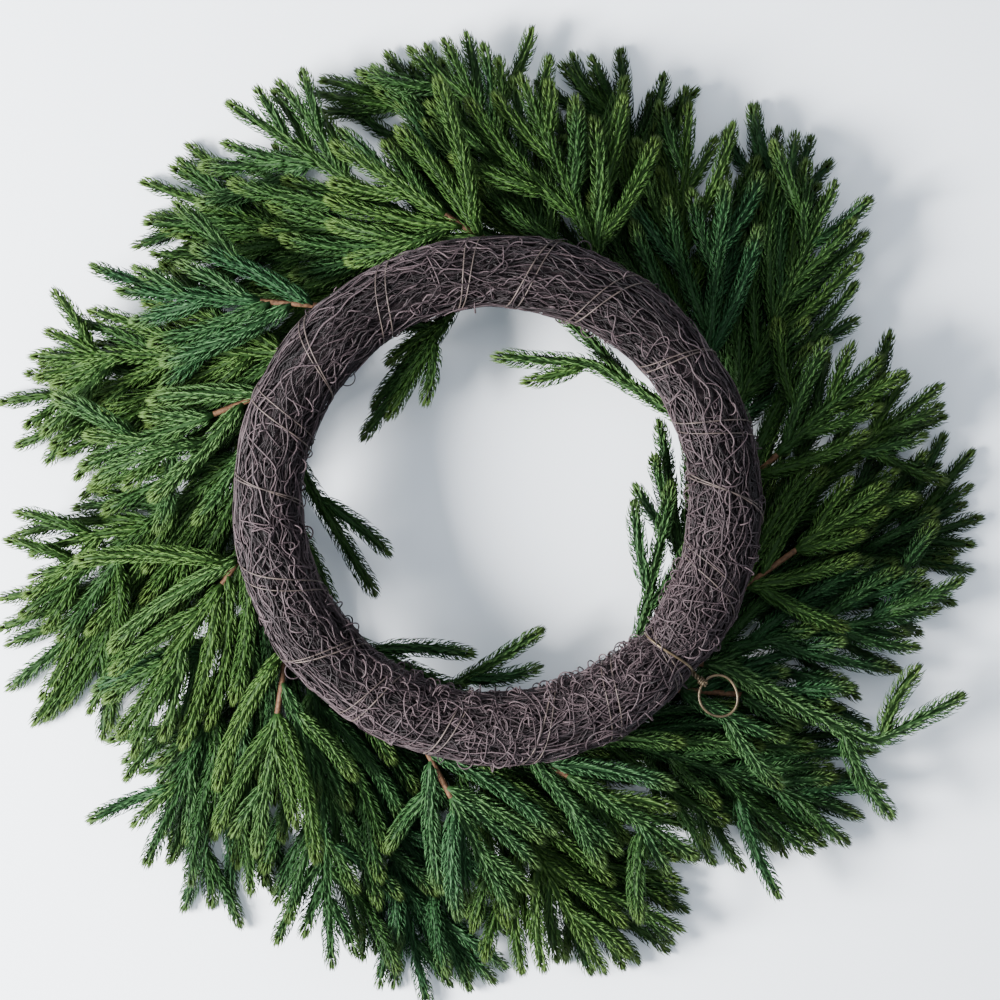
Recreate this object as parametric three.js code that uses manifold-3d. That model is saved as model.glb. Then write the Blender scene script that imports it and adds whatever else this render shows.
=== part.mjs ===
// An evergreen wreath on a ring of bundled vines, lying face down, so that its back is up.
//
// The vine ring carries everything. A binding wire winds round it, and a heavier hanging wire goes once
// round it and ends in a loop. The sprays are cut sprigs: the foot of each stem lies against the front of
// the ring, which is the side that is down, and its needle-covered fingers sweep outwards, all turned the
// same way round. A few shorter sprays point into the hole.
//
// Millimetres, +Z up. The origin is on the surface that the wreath lies on, under the middle of its outline.
import * as THREE from "three";
import { mergeVertices } from "three/addons/utils/BufferGeometryUtils.js";
import Module from "manifold-3d";

const wasm = await Module();
wasm.setup();

// ---- driving dimensions ----

// The foliage reaches further to the lower left, so the ring sits a little off the middle of the outline.
const RING_CENTRE_X = 4.9;
const RING_CENTRE_Y = 15.7;
const RING_OUTER_DIAMETER = 355;
const RING_WIDTH = 50; // across the bundle of vines, seen from above
const RING_THICKNESS = 44; // through the bundle, which is pressed a little flat
const RING_LUMPS = 2.4; // how much thinner the bundle gets between its lumps
const VINE_RIDGE = 2; // height of the strands that stand out of the bundle
const FOLIAGE_DEPTH = 54; // from the surface up to the underside of the ring

const BINDING_TURNS = 18;
const BINDING_WIRE_RADIUS = 0.65;
const BINDING_STAND_OFF = 2.4; // from the vines to the middle of the wire

const HANGER_ANGLE = THREE.MathUtils.degToRad(-41.5);
const HANGER_WIRE_RADIUS = 1;
const HANGER_STAND_OFF = 4.6;
const HANGER_PINCH = 3; // how far the hanging wire pulls the vines in
const HANGER_PINCH_ANGLE = 0.08; // radians of ring on each side that it pulls on
const HANGER_TWIST_LENGTH = 9;
const HANGER_TWIST_RADIUS = 2.1;
const HANGER_LOOP_RADIUS = 13;

const STEP = 7; // between the points that a stem or a finger is bent at
const NEEDLE_REACH = 6.2; // from the middle of a finger to its needle tips
const TIP_REACH = 5.1; // the same near the end of a finger, where the needles are younger
const NEEDLE_FORWARD = 8; // how far a needle's tip lies ahead of its root
const NEEDLE_TWIST = 0.25; // radians that the rings of needles are turned, to and fro
const NEEDLE_TWIST_PACE = 2.4; // radians of that to and fro from one ring to the next
const TWIG_RADIUS = 2.2; // the twig between the needles
const STEM_RADIUS = 2.4; // the bare woody foot of a spray
const GAP = 1.4; // kept between two sprays, on top of their needles
const RING_GAP = 0.8; // kept between a spray and the ring
const STEEPEST = 0.42; // slope of a finger that is bent under another
const STEEPEST_BARE = 1.5; // slope of a bare stem
const PRESSED = 1.2; // how far needles that rest on the surface are pressed in

const OUTLINE_RADIUS = 328; // of the tips, from the middle of the ring
const OUTLINE_OFFSET = 13; // the tips reach this much further at the lower left, and less at the upper right
const OUTLINE_OFFSET_ANGLE = THREE.MathUtils.degToRad(215);

// The courses of outer sprays, in the order in which they are laid on the ring. The first lies against the
// ring, so it shows on the wreath's back. Heights are of the middle of the stem above the surface, at the
// ring's edge and at the tips. Leans are in degrees from the outward line. A stem is bare up to cladFrom.
const COURSES = [
  { name: "back", reach: 0.84, nearHeight: 56, tipHeight: 50, lean: 50, cladFrom: 172 },
  { name: "middle", reach: 0.96, nearHeight: 38, tipHeight: 28, lean: 48, cladFrom: 172 },
  { name: "front", reach: 1.0, nearHeight: 17, tipHeight: 5, lean: 46, cladFrom: 0 },
];
const OUTER_SPRAYS = 35; // dealt out to the courses in turn, round the ring
const FORK_SPACING = [2, 4]; // points between the side fingers of an outer spray, by turns
const FORK_SPREAD = 31; // degrees between a finger and its stem, where it leaves it
const FINGER_SHARE = 0.8; // length of a finger, as a share of the stem beyond its fork
const FINGER_STEPS = [7, 13]; // the fewest and the most

// How far one outer spray or finger may differ from the next, either way.
const VARY = { place: 0.25, lean: 7, reach: 0.035, lift: 3, fork: 3, share: 0.15, rise: 5 };

// The sprays that point into the hole: ring angle where they leave the ring and lean from the inward line,
// in degrees, points of stem, height of the tip, and each finger's fork point, side, spread in degrees and
// points.
const INNER_SPRAYS = [
  { angle: 81, lean: 78, steps: 21, tipHeight: 46, fingers: [[13, 1, 26, 7]] },
  { angle: 94, lean: 34, steps: 23, tipHeight: 42, fingers: [[13, -1, 30, 9], [15, 1, 30, 7]] },
  { angle: 163, lean: 42, steps: 23, tipHeight: 36, fingers: [[13, 1, 30, 9]] },
  { angle: 213, lean: 58, steps: 23, tipHeight: 40, fingers: [[13, 1, 34, 9]] },
  { angle: 247, lean: 34, steps: 21, tipHeight: 38, fingers: [[13, -1, 34, 7]] },
  { angle: 306, lean: 48, steps: 25, tipHeight: 40, fingers: [[13, -1, 30, 9], [15, 1, 30, 9]] },
  { angle: 328, lean: 43, steps: 23, tipHeight: 44, fingers: [[13, -1, 30, 9], [15, 1, 30, 7]] },
  { angle: 15, lean: 47, bend: 28, steps: 29, tipHeight: 44, fingers: [[17, 1, 30, 9], [21, 1, 40, 7]] },
];

// One spray stands out from the rest at the lower right, above its neighbours, with its end bent round.
const STRAY_SPRAY = {
  angle: -37,
  lean: 10,
  bend: 55,
  steps: 35,
  tipHeight: 44,
  fingers: [[23, -1, 50, 9], [27, 1, 70, 9]],
};

// ---- worked out from them ----

const RING_RADIUS = (RING_OUTER_DIAMETER - RING_WIDTH) / 2;
const HALF_WIDTH = RING_WIDTH / 2;
const FLATNESS = RING_THICKNESS / RING_WIDTH;
const RING_HEIGHT = FOLIAGE_DEPTH + RING_THICKNESS / 2;
const LISTED_NEAR_HEIGHT = FOLIAGE_DEPTH - 9; // of an inner or stray spray, where it leaves the ring

// ---- a seeded random number, from 0 to 1 ----

let randomState = 20;
function random() {
  randomState = (randomState * 1664525 + 1013904223) % 4294967296;
  return randomState / 4294967296;
}

const spread = (most) => (random() * 2 - 1) * most;

function smoothstep(t) {
  const s = THREE.MathUtils.clamp(t, 0, 1);
  return s * s * (3 - 2 * s);
}

// ---- meshes and solids ----

function geometryFrom(points, triangles) {
  const geometry = new THREE.BufferGeometry();
  geometry.setAttribute("position", new THREE.Float32BufferAttribute(points.flat(), 3));
  geometry.setIndex(triangles.flat());
  geometry.computeVertexNormals();
  return geometry;
}

// A closed mesh as a solid, for joining.
function solidFrom(geometry) {
  const bare = geometry.clone();
  bare.deleteAttribute("normal");
  bare.deleteAttribute("uv");
  const merged = mergeVertices(bare);
  const mesh = new wasm.Mesh({
    numProp: 3,
    vertProperties: merged.attributes.position.array,
    triVerts: new Uint32Array(merged.index.array),
  });
  return new wasm.Manifold(mesh);
}

// Joins closed meshes, and keeps the body that holds together: scraps go, and sealed hollows are filled.
function fuse(geometries) {
  const joined = geometries.map(solidFrom).reduce((whole, next) => whole.add(next));
  const largest = joined.decompose().reduce((best, body) => (body.volume() > best.volume() ? body : best));
  const mesh = largest.getMesh();
  const geometry = new THREE.BufferGeometry();
  geometry.setAttribute("position", new THREE.BufferAttribute(mesh.vertProperties, 3));
  geometry.setIndex(new THREE.BufferAttribute(mesh.triVerts, 1));
  geometry.computeVertexNormals();
  return geometry;
}

// ---- the vine ring ----

// A point of the bundle: ring angle, angle round the bundle (0 is outwards, a quarter turn is up), and
// distance from the bundle's middle, before it is pressed flat.
function bundlePoint(ringAngle, roundAngle, distance) {
  const radius = RING_RADIUS + distance * Math.cos(roundAngle);
  const height = RING_HEIGHT + distance * FLATNESS * Math.sin(roundAngle);
  return new THREE.Vector3(radius * Math.cos(ringAngle), radius * Math.sin(ringAngle), height);
}

// Half the bundle's width: lumpy, and pulled in where the hanging wire goes round.
function bundleRadius(ringAngle) {
  const lump = (RING_LUMPS / 2) * (1 - 0.6 * Math.cos(5 * ringAngle) - 0.4 * Math.cos(13 * ringAngle + 1));
  const fromHanger = Math.atan2(Math.sin(ringAngle - HANGER_ANGLE), Math.cos(ringAngle - HANGER_ANGLE));
  const pinch = HANGER_PINCH * Math.exp(-((fromHanger / HANGER_PINCH_ANGLE) ** 2));
  return HALF_WIDTH - lump - pinch;
}

const RING_STEPS = 60;
const BUNDLE_SIDES = 12;
const ROPE_TURNS = 8; // turns that the ridges make round the bundle, per ridge, in one round of the ring

// A flat spot on the back, at the top, where the ring rests on a door or a wall: half its length in radians
// of ring, and the two rows of points that it lies between.
const FLAT_SPOT_ANGLE = Math.PI / 2;
const FLAT_SPOT_HALF_ANGLE = 0.11;
const FLAT_SPOT_ROWS = [2, 3];

function vineRingGeometry() {
  const points = [];
  const triangles = [];
  for (let i = 0; i < RING_STEPS; i++) {
    const ringAngle = (i / RING_STEPS) * 2 * Math.PI;
    const inFlatSpot = Math.abs(ringAngle - FLAT_SPOT_ANGLE) < FLAT_SPOT_HALF_ANGLE;
    for (let j = 0; j < BUNDLE_SIDES; j++) {
      const roundAngle = ((j + 0.5) / BUNDLE_SIDES) * 2 * Math.PI;
      const ridge = Math.cos((BUNDLE_SIDES / 2) * roundAngle + ROPE_TURNS * ringAngle);
      const groove = (VINE_RIDGE / 2) * (1 - ridge);
      const point = bundlePoint(ringAngle, roundAngle, bundleRadius(ringAngle) - groove);
      if (inFlatSpot && FLAT_SPOT_ROWS.includes(j)) point.z = RING_HEIGHT + RING_THICKNESS / 2;
      points.push(point.toArray());
      const nextI = (i + 1) % RING_STEPS;
      const nextJ = (j + 1) % BUNDLE_SIDES;
      const [a, b] = [i * BUNDLE_SIDES + j, nextI * BUNDLE_SIDES + j];
      const [c, d] = [nextI * BUNDLE_SIDES + nextJ, i * BUNDLE_SIDES + nextJ];
      triangles.push([a, b, c], [a, c, d]);
    }
  }
  return geometryFrom(points, triangles);
}

// ---- wires ----

// The binding wire winds round and round. It passes over the back at ring angle 0 and once a turn after.
function bindingPoint(share) {
  const ringAngle = share * 2 * Math.PI;
  const roundAngle = BINDING_TURNS * ringAngle + Math.PI / 2;
  return bundlePoint(ringAngle, roundAngle, bundleRadius(ringAngle) + BINDING_STAND_OFF);
}

const BINDING_STEPS = 10 * BINDING_TURNS;
const bindingPoints = [];
for (let k = 0; k < BINDING_STEPS; k++) bindingPoints.push(bindingPoint(k / BINDING_STEPS));

const hangerDistance = bundleRadius(HANGER_ANGLE) + HANGER_STAND_OFF;
const HANGER_STEPS = 16;
const hangerPoints = [];
for (let k = 0; k < HANGER_STEPS; k++) {
  hangerPoints.push(bundlePoint(HANGER_ANGLE, (k / HANGER_STEPS) * 2 * Math.PI, hangerDistance));
}

// A closed wire through points.
function wireGeometry(points, radius, sides) {
  const line = new THREE.CatmullRomCurve3(points, true);
  return new THREE.TubeGeometry(line, points.length, radius, sides, true);
}

const outwardsAtHanger = new THREE.Vector3(Math.cos(HANGER_ANGLE), Math.sin(HANGER_ANGLE), 0);
const twistStart = RING_RADIUS + hangerDistance - HANGER_WIRE_RADIUS;
const loopDistance = twistStart + HANGER_TWIST_LENGTH - HANGER_WIRE_RADIUS + HANGER_LOOP_RADIUS;
const loopCentre = outwardsAtHanger.clone().multiplyScalar(loopDistance).setZ(RING_HEIGHT);

// The twist's outline as shares of its radius and its length: two bulges, where the wire winds on itself.
const TWIST_PROFILE = [
  [0, 0],
  [0.7, 0],
  [1, 0.25],
  [0.75, 0.5],
  [1, 0.75],
  [0.6, 1],
  [0, 1],
];

// The hanging wire goes once round the ring, is twisted on its outer side, and ends in a level loop.
function hangingWireGeometry() {
  const wrap = wireGeometry(hangerPoints, HANGER_WIRE_RADIUS, 4);
  const profile = TWIST_PROFILE.map(([radius, along]) => {
    return new THREE.Vector2(radius * HANGER_TWIST_RADIUS, along * HANGER_TWIST_LENGTH);
  });
  const twist = new THREE.LatheGeometry(profile, 6);
  const latheAxis = new THREE.Vector3(0, 1, 0);
  twist.applyQuaternion(new THREE.Quaternion().setFromUnitVectors(latheAxis, outwardsAtHanger));
  twist.translate(outwardsAtHanger.x * twistStart, outwardsAtHanger.y * twistStart, RING_HEIGHT);
  const loop = new THREE.TorusGeometry(HANGER_LOOP_RADIUS, HANGER_WIRE_RADIUS, 4, 18);
  loop.translate(...loopCentre.toArray());
  return fuse([wrap, twist, loop]);
}

// ---- where the sprays may go ----

// Every point already laid, with how far it reaches and the piece that it belongs to. The wires come
// first, and each later spray passes below what is laid.
const laid = [];
const BINDING_STEPS_FINE = 4 * BINDING_STEPS;
for (let k = 0; k < BINDING_STEPS_FINE; k++) {
  const { x, y, z } = bindingPoint(k / BINDING_STEPS_FINE);
  if (z < RING_HEIGHT) laid.push({ x, y, z, reach: BINDING_WIRE_RADIUS, piece: "binding_wire" });
}
for (const { x, y, z } of hangerPoints) {
  if (z < RING_HEIGHT) laid.push({ x, y, z, reach: HANGER_WIRE_RADIUS, piece: "hanging_wire" });
}
const loopReach = HANGER_LOOP_RADIUS + HANGER_WIRE_RADIUS;
const { x: loopX, y: loopY, z: loopZ } = loopCentre;
laid.push({ x: loopX, y: loopY, z: loopZ + loopReach, reach: loopReach, piece: "hanging_wire" });

// The height below which a strand passes clear of the ring.
function ringCeiling({ x, y }, reach) {
  const room = reach + RING_GAP;
  const across = (Math.hypot(x, y) - RING_RADIUS) / (HALF_WIDTH + room);
  if (Math.abs(across) >= 1) return Infinity;
  return RING_HEIGHT - (RING_THICKNESS / 2 + room) * Math.sqrt(1 - across * across);
}

// The height below which a strand passes clear of everything laid before it.
function laidCeiling({ x, y }, reach, piece) {
  let ceiling = Infinity;
  for (const other of laid) {
    if (other.piece === piece) continue;
    const room = reach + other.reach + GAP;
    const apart = (x - other.x) ** 2 + (y - other.y) ** 2;
    if (apart < room * room) ceiling = Math.min(ceiling, other.z - Math.sqrt(room * room - apart));
  }
  return ceiling;
}

// The highest line under a strand's ceilings that is nowhere steeper than the strand may be. A strand is
// straight between every second point, so a point between two of those keeps both of them down.
function easeUnder(points) {
  const last = points.length - 1;
  const rise = (i) => STEP * (points[i].reach > STEM_RADIUS ? STEEPEST : STEEPEST_BARE);
  const heights = points.map((point, i) => {
    if (i % 2) return point.ceiling;
    const before = points[Math.max(0, i - 1)].ceiling;
    return Math.min(before, point.ceiling, points[Math.min(last, i + 1)].ceiling);
  });
  for (let i = 1; i <= last; i++) heights[i] = Math.min(heights[i], heights[i - 1] + rise(i));
  for (let i = last - 1; i >= 0; i--) heights[i] = Math.min(heights[i], heights[i + 1] + rise(i + 1));
  for (let i = 1; i < last; i += 2) heights[i] = (heights[i - 1] + heights[i + 1]) / 2;
  return heights;
}

// ---- stems and fingers seen from above ----

// Points every STEP along a line, given its heading at each distance.
function walk(start, steps, headingAt) {
  const points = [{ x: start.x, y: start.y, heading: headingAt(0) }];
  for (let k = 1; k <= steps; k++) {
    const heading = headingAt((k - 0.5) * STEP);
    const last = points[k - 1];
    points.push({ x: last.x + STEP * Math.cos(heading), y: last.y + STEP * Math.sin(heading), heading });
  }
  return points;
}

const FOOT_POINTS = 3; // the points of a stem that come down from the ring
const TURN_START = 14;
const TURN_LENGTH = 70; // in which a stem turns from along the ring to its own heading
const UNDER_RING_ANGLE = THREE.MathUtils.degToRad(19); // of ring that a stem runs along
const BEND_FROM_TIP = 11; // steps from a bent stem's tip back to where its bend starts
const BEND_STEPS = 4;

function stemFrom(footAngle, slot, heading, bend, steps) {
  const radius = RING_RADIUS + slot;
  const start = { x: radius * Math.cos(footAngle), y: radius * Math.sin(footAngle) };
  const along = footAngle + Math.PI / 2;
  const bendStart = (steps - BEND_FROM_TIP) * STEP;
  return walk(start, steps, (distance) => {
    const turned = (heading - along) * smoothstep((distance - TURN_START) / TURN_LENGTH);
    return along + turned + bend * smoothstep((distance - bendStart) / (BEND_STEPS * STEP));
  });
}

const SLOTS = [-12, -9, -6, -3, 0, 3, 6, 9, 12]; // of the feet, across the ring
const FOOT_SHIFT = THREE.MathUtils.degToRad(1);
const MOST_SHIFTS = 10;
const SHIFT_COST = 2; // against a millimetre of slot, or of foot below the ring

// A stem whose foot lies as close against the ring, and as near to where it is wanted, as what is there
// already allows.
function stemWithFoot(angle, wantedSlot, heading, bend, steps) {
  const wanted = angle - UNDER_RING_ANGLE;
  let best = { cost: Infinity };
  for (const slot of SLOTS) {
    for (let shift = -MOST_SHIFTS; shift <= MOST_SHIFTS; shift++) {
      const points = stemFrom(wanted + shift * FOOT_SHIFT, slot, heading, bend, steps);
      const ceilings = points.slice(0, FOOT_POINTS).map((point) => laidCeiling(point, STEM_RADIUS, ""));
      const drop = FOLIAGE_DEPTH - Math.min(FOLIAGE_DEPTH, ...ceilings);
      const cost = Math.abs(shift) * SHIFT_COST + Math.abs(slot - wantedSlot) + drop;
      if (cost < best.cost) best = { cost, points };
    }
  }
  return best.points;
}

// Ends a strand where it reaches this far from the middle of the ring. A strand's last point is its tip,
// and its rings are at every second point before that.
function cutAtReach(points, reach) {
  const found = points.findIndex((point, i) => i > FOOT_POINTS && Math.hypot(point.x, point.y) >= reach);
  const last = found < 0 ? points.length - 1 : found;
  return points.slice(0, 2 * Math.floor((last + 1) / 2));
}

const FINGER_CURL = 0.6; // of its spread that a finger turns back by its tip

function fingerFrom(stem, fork, side, spreadAngle, steps) {
  const length = steps * STEP;
  const { x, y, heading } = stem[fork];
  const turnAt = (distance) => spreadAngle * (1 - FINGER_CURL * (distance / length));
  return walk({ x, y }, steps, (distance) => heading + side * turnAt(distance));
}

// ---- laying a spray ----

const YOUNG_STEPS = 6; // at the tip, over which the needles get shorter

// How far a strand reaches at each point: bare, then clad in needles, younger towards the tip.
function giveReach(points, cladIndex) {
  const last = points.length - 1;
  points.forEach((point, i) => {
    const young = smoothstep((i - last + YOUNG_STEPS) / (YOUNG_STEPS - 1));
    const clad = NEEDLE_REACH + (TIP_REACH - NEEDLE_REACH) * young;
    point.reach = i < cladIndex ? STEM_RADIUS : clad;
  });
  points[last].reach = TWIG_RADIUS;
}

const lowestHeight = (point) => point.reach - PRESSED;

// Gives each point the height that it wants, or the highest that it may have, and cuts the strand short
// where there is no room for it above the surface.
function giveCeilings(points, heightAt, piece, isStem) {
  points.forEach((point, i) => {
    const wanted = isStem && i < FOOT_POINTS ? FOLIAGE_DEPTH : Math.max(heightAt(i), lowestHeight(point));
    point.ceiling = Math.min(wanted, ringCeiling(point, point.reach), laidCeiling(point, point.reach, piece));
  });
  const blocked = points.findIndex((point) => point.ceiling < lowestHeight(point));
  if (blocked < 0) return;
  points.length = 2 * Math.floor(blocked / 2);
}

const SHORTEST_FINGER = 6; // points
const CROTCH = 4; // points of a finger that may be close to its own stem
const OWN_ROOM = 1.6 * NEEDLE_REACH; // between a finger and the rest of its spray, beyond the crotch
const FULL_RISE = 6; // points from its fork to where a finger has all of its own rise
const FALL_POWER = 1.3; // of the way out, so that an outer spray falls late

// Cuts a finger short where, seen from above, it would meet its own stem or a finger before it.
function keepClearOfOwn(points, others) {
  const meets = ({ x, y }) => others.some((other) => Math.hypot(x - other.x, y - other.y) < OWN_ROOM);
  const met = points.findIndex((point, i) => i >= CROTCH && meets(point));
  if (met >= 0) points.length = 2 * Math.floor(met / 2);
}

// Lays one spray. Its stem and fingers are already walked out as seen from above.
function laySpray(name, stem, cladIndex, fingers, heightAt) {
  const span = stem.length - 1;
  giveReach(stem, cladIndex);
  giveCeilings(stem, (i) => heightAt(Math.max(0, i - cladIndex) / (span - cladIndex)), name, true);
  const kept = [];
  for (const { points, fork, side, rise } of fingers) {
    keepClearOfOwn(points, [...stem, ...kept.flatMap((finger) => finger.points)]);
    if (points.length < SHORTEST_FINGER || fork > stem.length - SHORTEST_FINGER) continue;
    giveReach(points, 0);
    const shareAt = (i) => Math.min(1, (fork + i - cladIndex) / (span - cladIndex));
    giveCeilings(points, (i) => heightAt(shareAt(i)) + rise * smoothstep(i / FULL_RISE), name, false);
    if (points.length >= SHORTEST_FINGER) kept.push({ points, fork, side });
  }
  for (const { points, fork } of kept) {
    stem[fork].ceiling = Math.min(stem[fork].ceiling, easeUnder(points)[0]);
  }
  easeUnder(stem).forEach((z, i) => {
    stem[i].z = z;
  });
  for (const { points, fork } of kept) {
    const forkHeight = stem[fork].z;
    easeUnder(points).forEach((z, i) => {
      points[i].z = Math.min(z, forkHeight + STEEPEST * STEP * i);
    });
  }
  for (const points of [stem, ...kept.map((finger) => finger.points)]) {
    laid.push(...points.map(({ x, y, z, reach }) => ({ x, y, z, reach, piece: name })));
  }
  return { name, stem, cladIndex, fingers: kept };
}

// ---- the sprays ----

const WANTED_SLOTS = [-9, 3, -3, 9]; // of outer sprays, by turns
const INNER_SLOT = -12;
const STRAY_SLOT = 6;
const LONGEST_STEM = 42; // steps, before it is cut at the outline
const OUTLINE_POINT = 30; // the point of it whose place round the ring says where the outline is
const LISTED_CLAD_INDEX = 8;
const numbered = (name, index) => `${name}_${String(index + 1).padStart(2, "0")}`;

function outlineAt({ x, y }) {
  return OUTLINE_RADIUS + OUTLINE_OFFSET * Math.cos(Math.atan2(y, x) - OUTLINE_OFFSET_ANGLE);
}

function outerSpray(course, place, index) {
  const angle = ((place + spread(VARY.place)) / OUTER_SPRAYS) * 2 * Math.PI;
  const heading = angle + THREE.MathUtils.degToRad(course.lean + spread(VARY.lean));
  const long = stemWithFoot(angle, WANTED_SLOTS[index % WANTED_SLOTS.length], heading, 0, LONGEST_STEM);
  const reach = outlineAt(long[OUTLINE_POINT]) * (course.reach + spread(VARY.reach));
  const stem = cutAtReach(long, reach);
  const last = stem.length - 1;
  const edge = stem.findIndex((point) => Math.hypot(point.x, point.y) >= course.cladFrom);
  const cladIndex = Math.max(FOOT_POINTS + 1, 2 * Math.floor(edge / 2));
  const fingers = [];
  let fork = cladIndex + 1;
  while (fork <= last - SHORTEST_FINGER) {
    const side = fingers.length % 2 ? 1 : -1;
    const wanted = (last - fork) * (FINGER_SHARE + spread(VARY.share));
    const steps = 2 * Math.round(THREE.MathUtils.clamp(wanted, ...FINGER_STEPS) / 2) + 1;
    const spreadAngle = THREE.MathUtils.degToRad(FORK_SPREAD + spread(VARY.fork));
    const points = cutAtReach(fingerFrom(stem, fork, side, spreadAngle, steps), reach);
    fingers.push({ points, fork, side, rise: spread(VARY.rise) });
    fork += FORK_SPACING[(fingers.length + index) % FORK_SPACING.length];
  }
  const lift = spread(VARY.lift);
  const fall = course.tipHeight - course.nearHeight;
  const heightAt = (share) => course.nearHeight + lift + fall * share ** FALL_POWER;
  return laySpray(numbered(`spray_${course.name}`, index), stem, cladIndex, fingers, heightAt);
}

// A spray with a row of its own. An inner one leans from the inward line, and the stray from the outward.
function listedSpray(name, row, slot, leanFrom) {
  const angle = THREE.MathUtils.degToRad(row.angle);
  const heading = angle + THREE.MathUtils.degToRad(leanFrom + (leanFrom ? -row.lean : row.lean));
  const bend = THREE.MathUtils.degToRad(row.bend ?? 0);
  const stem = stemWithFoot(angle, slot, heading, bend, row.steps);
  const heightAt = (share) => LISTED_NEAR_HEIGHT + (row.tipHeight - LISTED_NEAR_HEIGHT) * share;
  const fingers = row.fingers.map(([fork, side, degrees, steps]) => ({
    points: fingerFrom(stem, fork, side, THREE.MathUtils.degToRad(degrees), steps),
    fork,
    side,
    rise: 0,
  }));
  return laySpray(name, stem, LISTED_CLAD_INDEX, fingers, heightAt);
}

// ---- the skin of a spray ----

// A strand has a ring of four points at every second point of its line. Where it is clad, each ring has
// two needle tips, which lean forward, and two hollows on the twig. The next ring has them the other way
// round, so that needles stand on every side, and each needle is a spike with four faces.
const SIDES = 4;

function addRing(vertices, points, ringNumber, isNeedle, coreRadius) {
  const i = 2 * ringNumber;
  const at = (k) => new THREE.Vector3(points[k].x, points[k].y, points[k].z);
  const along = at(i + 1).sub(at(Math.max(0, i - 1))).normalize();
  const left = new THREE.Vector3(0, 0, 1).cross(along).normalize();
  const over = new THREE.Vector3().crossVectors(along, left);
  const turn = Math.PI / SIDES + NEEDLE_TWIST * Math.sin(NEEDLE_TWIST_PACE * ringNumber);
  const mostForward = (points.length - 1.5 - i) * STEP; // half a step short of the strand's tip
  const ring = [];
  for (let j = 0; j < SIDES; j++) {
    const angle = turn + (j * 2 * Math.PI) / SIDES;
    const radius = isNeedle(j) ? points[i].reach : coreRadius;
    const vertex = at(i).addScaledVector(along, isNeedle(j) ? Math.min(NEEDLE_FORWARD, mostForward) : 0);
    vertex.addScaledVector(left, radius * Math.cos(angle)).addScaledVector(over, radius * Math.sin(angle));
    ring.push(vertices.length);
    vertices.push([vertex.x, vertex.y, Math.max(vertex.z, 0)]);
  }
  return ring;
}

// Joins each ring to the next, leaves out the quads that fingers grow from, and closes the tip.
function addSkin(vertices, triangles, rings, tip, isOpen) {
  for (let k = 0; k + 1 < rings.length; k++) {
    for (let j = 0; j < SIDES; j++) {
      if (isOpen(k, j)) continue;
      const nextJ = (j + 1) % SIDES;
      const [a, b, c, d] = [rings[k][j], rings[k][nextJ], rings[k + 1][j], rings[k + 1][nextJ]];
      if ((j + k) % 2 === 0) triangles.push([a, b, c], [b, d, c]);
      else triangles.push([a, b, d], [a, d, c]);
    }
  }
  const lastRing = rings[rings.length - 1];
  const tipNumber = vertices.length;
  vertices.push([tip.x, tip.y, Math.max(tip.z, 0)]);
  lastRing.forEach((number, j) => triangles.push([number, lastRing[(j + 1) % SIDES], tipNumber]));
}

// A finger grows out of a quad on its side of the stem, between two rings. That quad's corners are the
// finger's first ring, so that stem and fingers are one skin.
const LEFT_QUAD = 3;
const RIGHT_QUAD = 1;

function sprayGeometry({ stem, cladIndex, fingers }) {
  const vertices = [];
  const triangles = [];
  const forks = fingers.map(({ fork, side }) => {
    const quad = side > 0 ? LEFT_QUAD : RIGHT_QUAD;
    return { ring: (fork - 1) / 2, corners: [quad, (quad + 1) % SIDES] };
  });
  const isCorner = (k, j) =>
    forks.some(({ ring, corners }) => (k === ring || k === ring + 1) && corners.includes(j));
  const stemRings = [];
  for (let k = 0; 2 * k < stem.length - 1; k++) {
    const clad = 2 * k >= cladIndex;
    const isNeedle = (j) => clad && (j + k) % 2 === 0 && !isCorner(k, j);
    stemRings.push(addRing(vertices, stem, k, isNeedle, clad ? TWIG_RADIUS : STEM_RADIUS));
  }
  const [foot] = stemRings;
  triangles.push([foot[0], foot[2], foot[1]], [foot[0], foot[3], foot[2]]);
  const isOpen = (k, j) => forks.some(({ ring, corners }) => k === ring && j === corners[0]);
  addSkin(vertices, triangles, stemRings, stem[stem.length - 1], isOpen);
  fingers.forEach(({ points, side }, n) => {
    const { ring, corners } = forks[n];
    const [j, nextJ] = corners;
    const [rear, front] = [stemRings[ring], stemRings[ring + 1]];
    const rootOnLeft = [rear[nextJ], front[nextJ], front[j], rear[j]];
    const rootOnRight = [front[j], rear[j], rear[nextJ], front[nextJ]];
    const root = side > 0 ? rootOnLeft : rootOnRight;
    const rings = [root];
    for (let k = 1; 2 * k < points.length - 1; k++) {
      rings.push(addRing(vertices, points, k, (j) => (j + k) % 2 === 0, TWIG_RADIUS));
    }
    addSkin(vertices, triangles, rings, points[points.length - 1], () => false);
  });
  return geometryFrom(vertices, triangles);
}

// ---- the wreath ----

const needleGreen = new THREE.MeshStandardMaterial({ color: 0x3f6b35, roughness: 0.6, metalness: 0 });
const vineBrown = new THREE.MeshStandardMaterial({ color: 0x6b5a58, roughness: 0.9, metalness: 0 });
const bindingBrown = new THREE.MeshStandardMaterial({ color: 0x7d6b62, roughness: 0.7, metalness: 0.2 });
const hangerTan = new THREE.MeshStandardMaterial({ color: 0x9a8466, roughness: 0.5, metalness: 0.4 });

const wreath = new THREE.Group();
wreath.position.set(RING_CENTRE_X, RING_CENTRE_Y, 0);

function addPiece(name, geometry, material) {
  const mesh = new THREE.Mesh(geometry, material);
  mesh.name = name;
  wreath.add(mesh);
}

function outerCourse(courseIndex) {
  const course = [];
  for (let place = courseIndex; place < OUTER_SPRAYS; place += COURSES.length) {
    course.push(outerSpray(COURSES[courseIndex], place, course.length));
  }
  return course;
}

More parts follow.
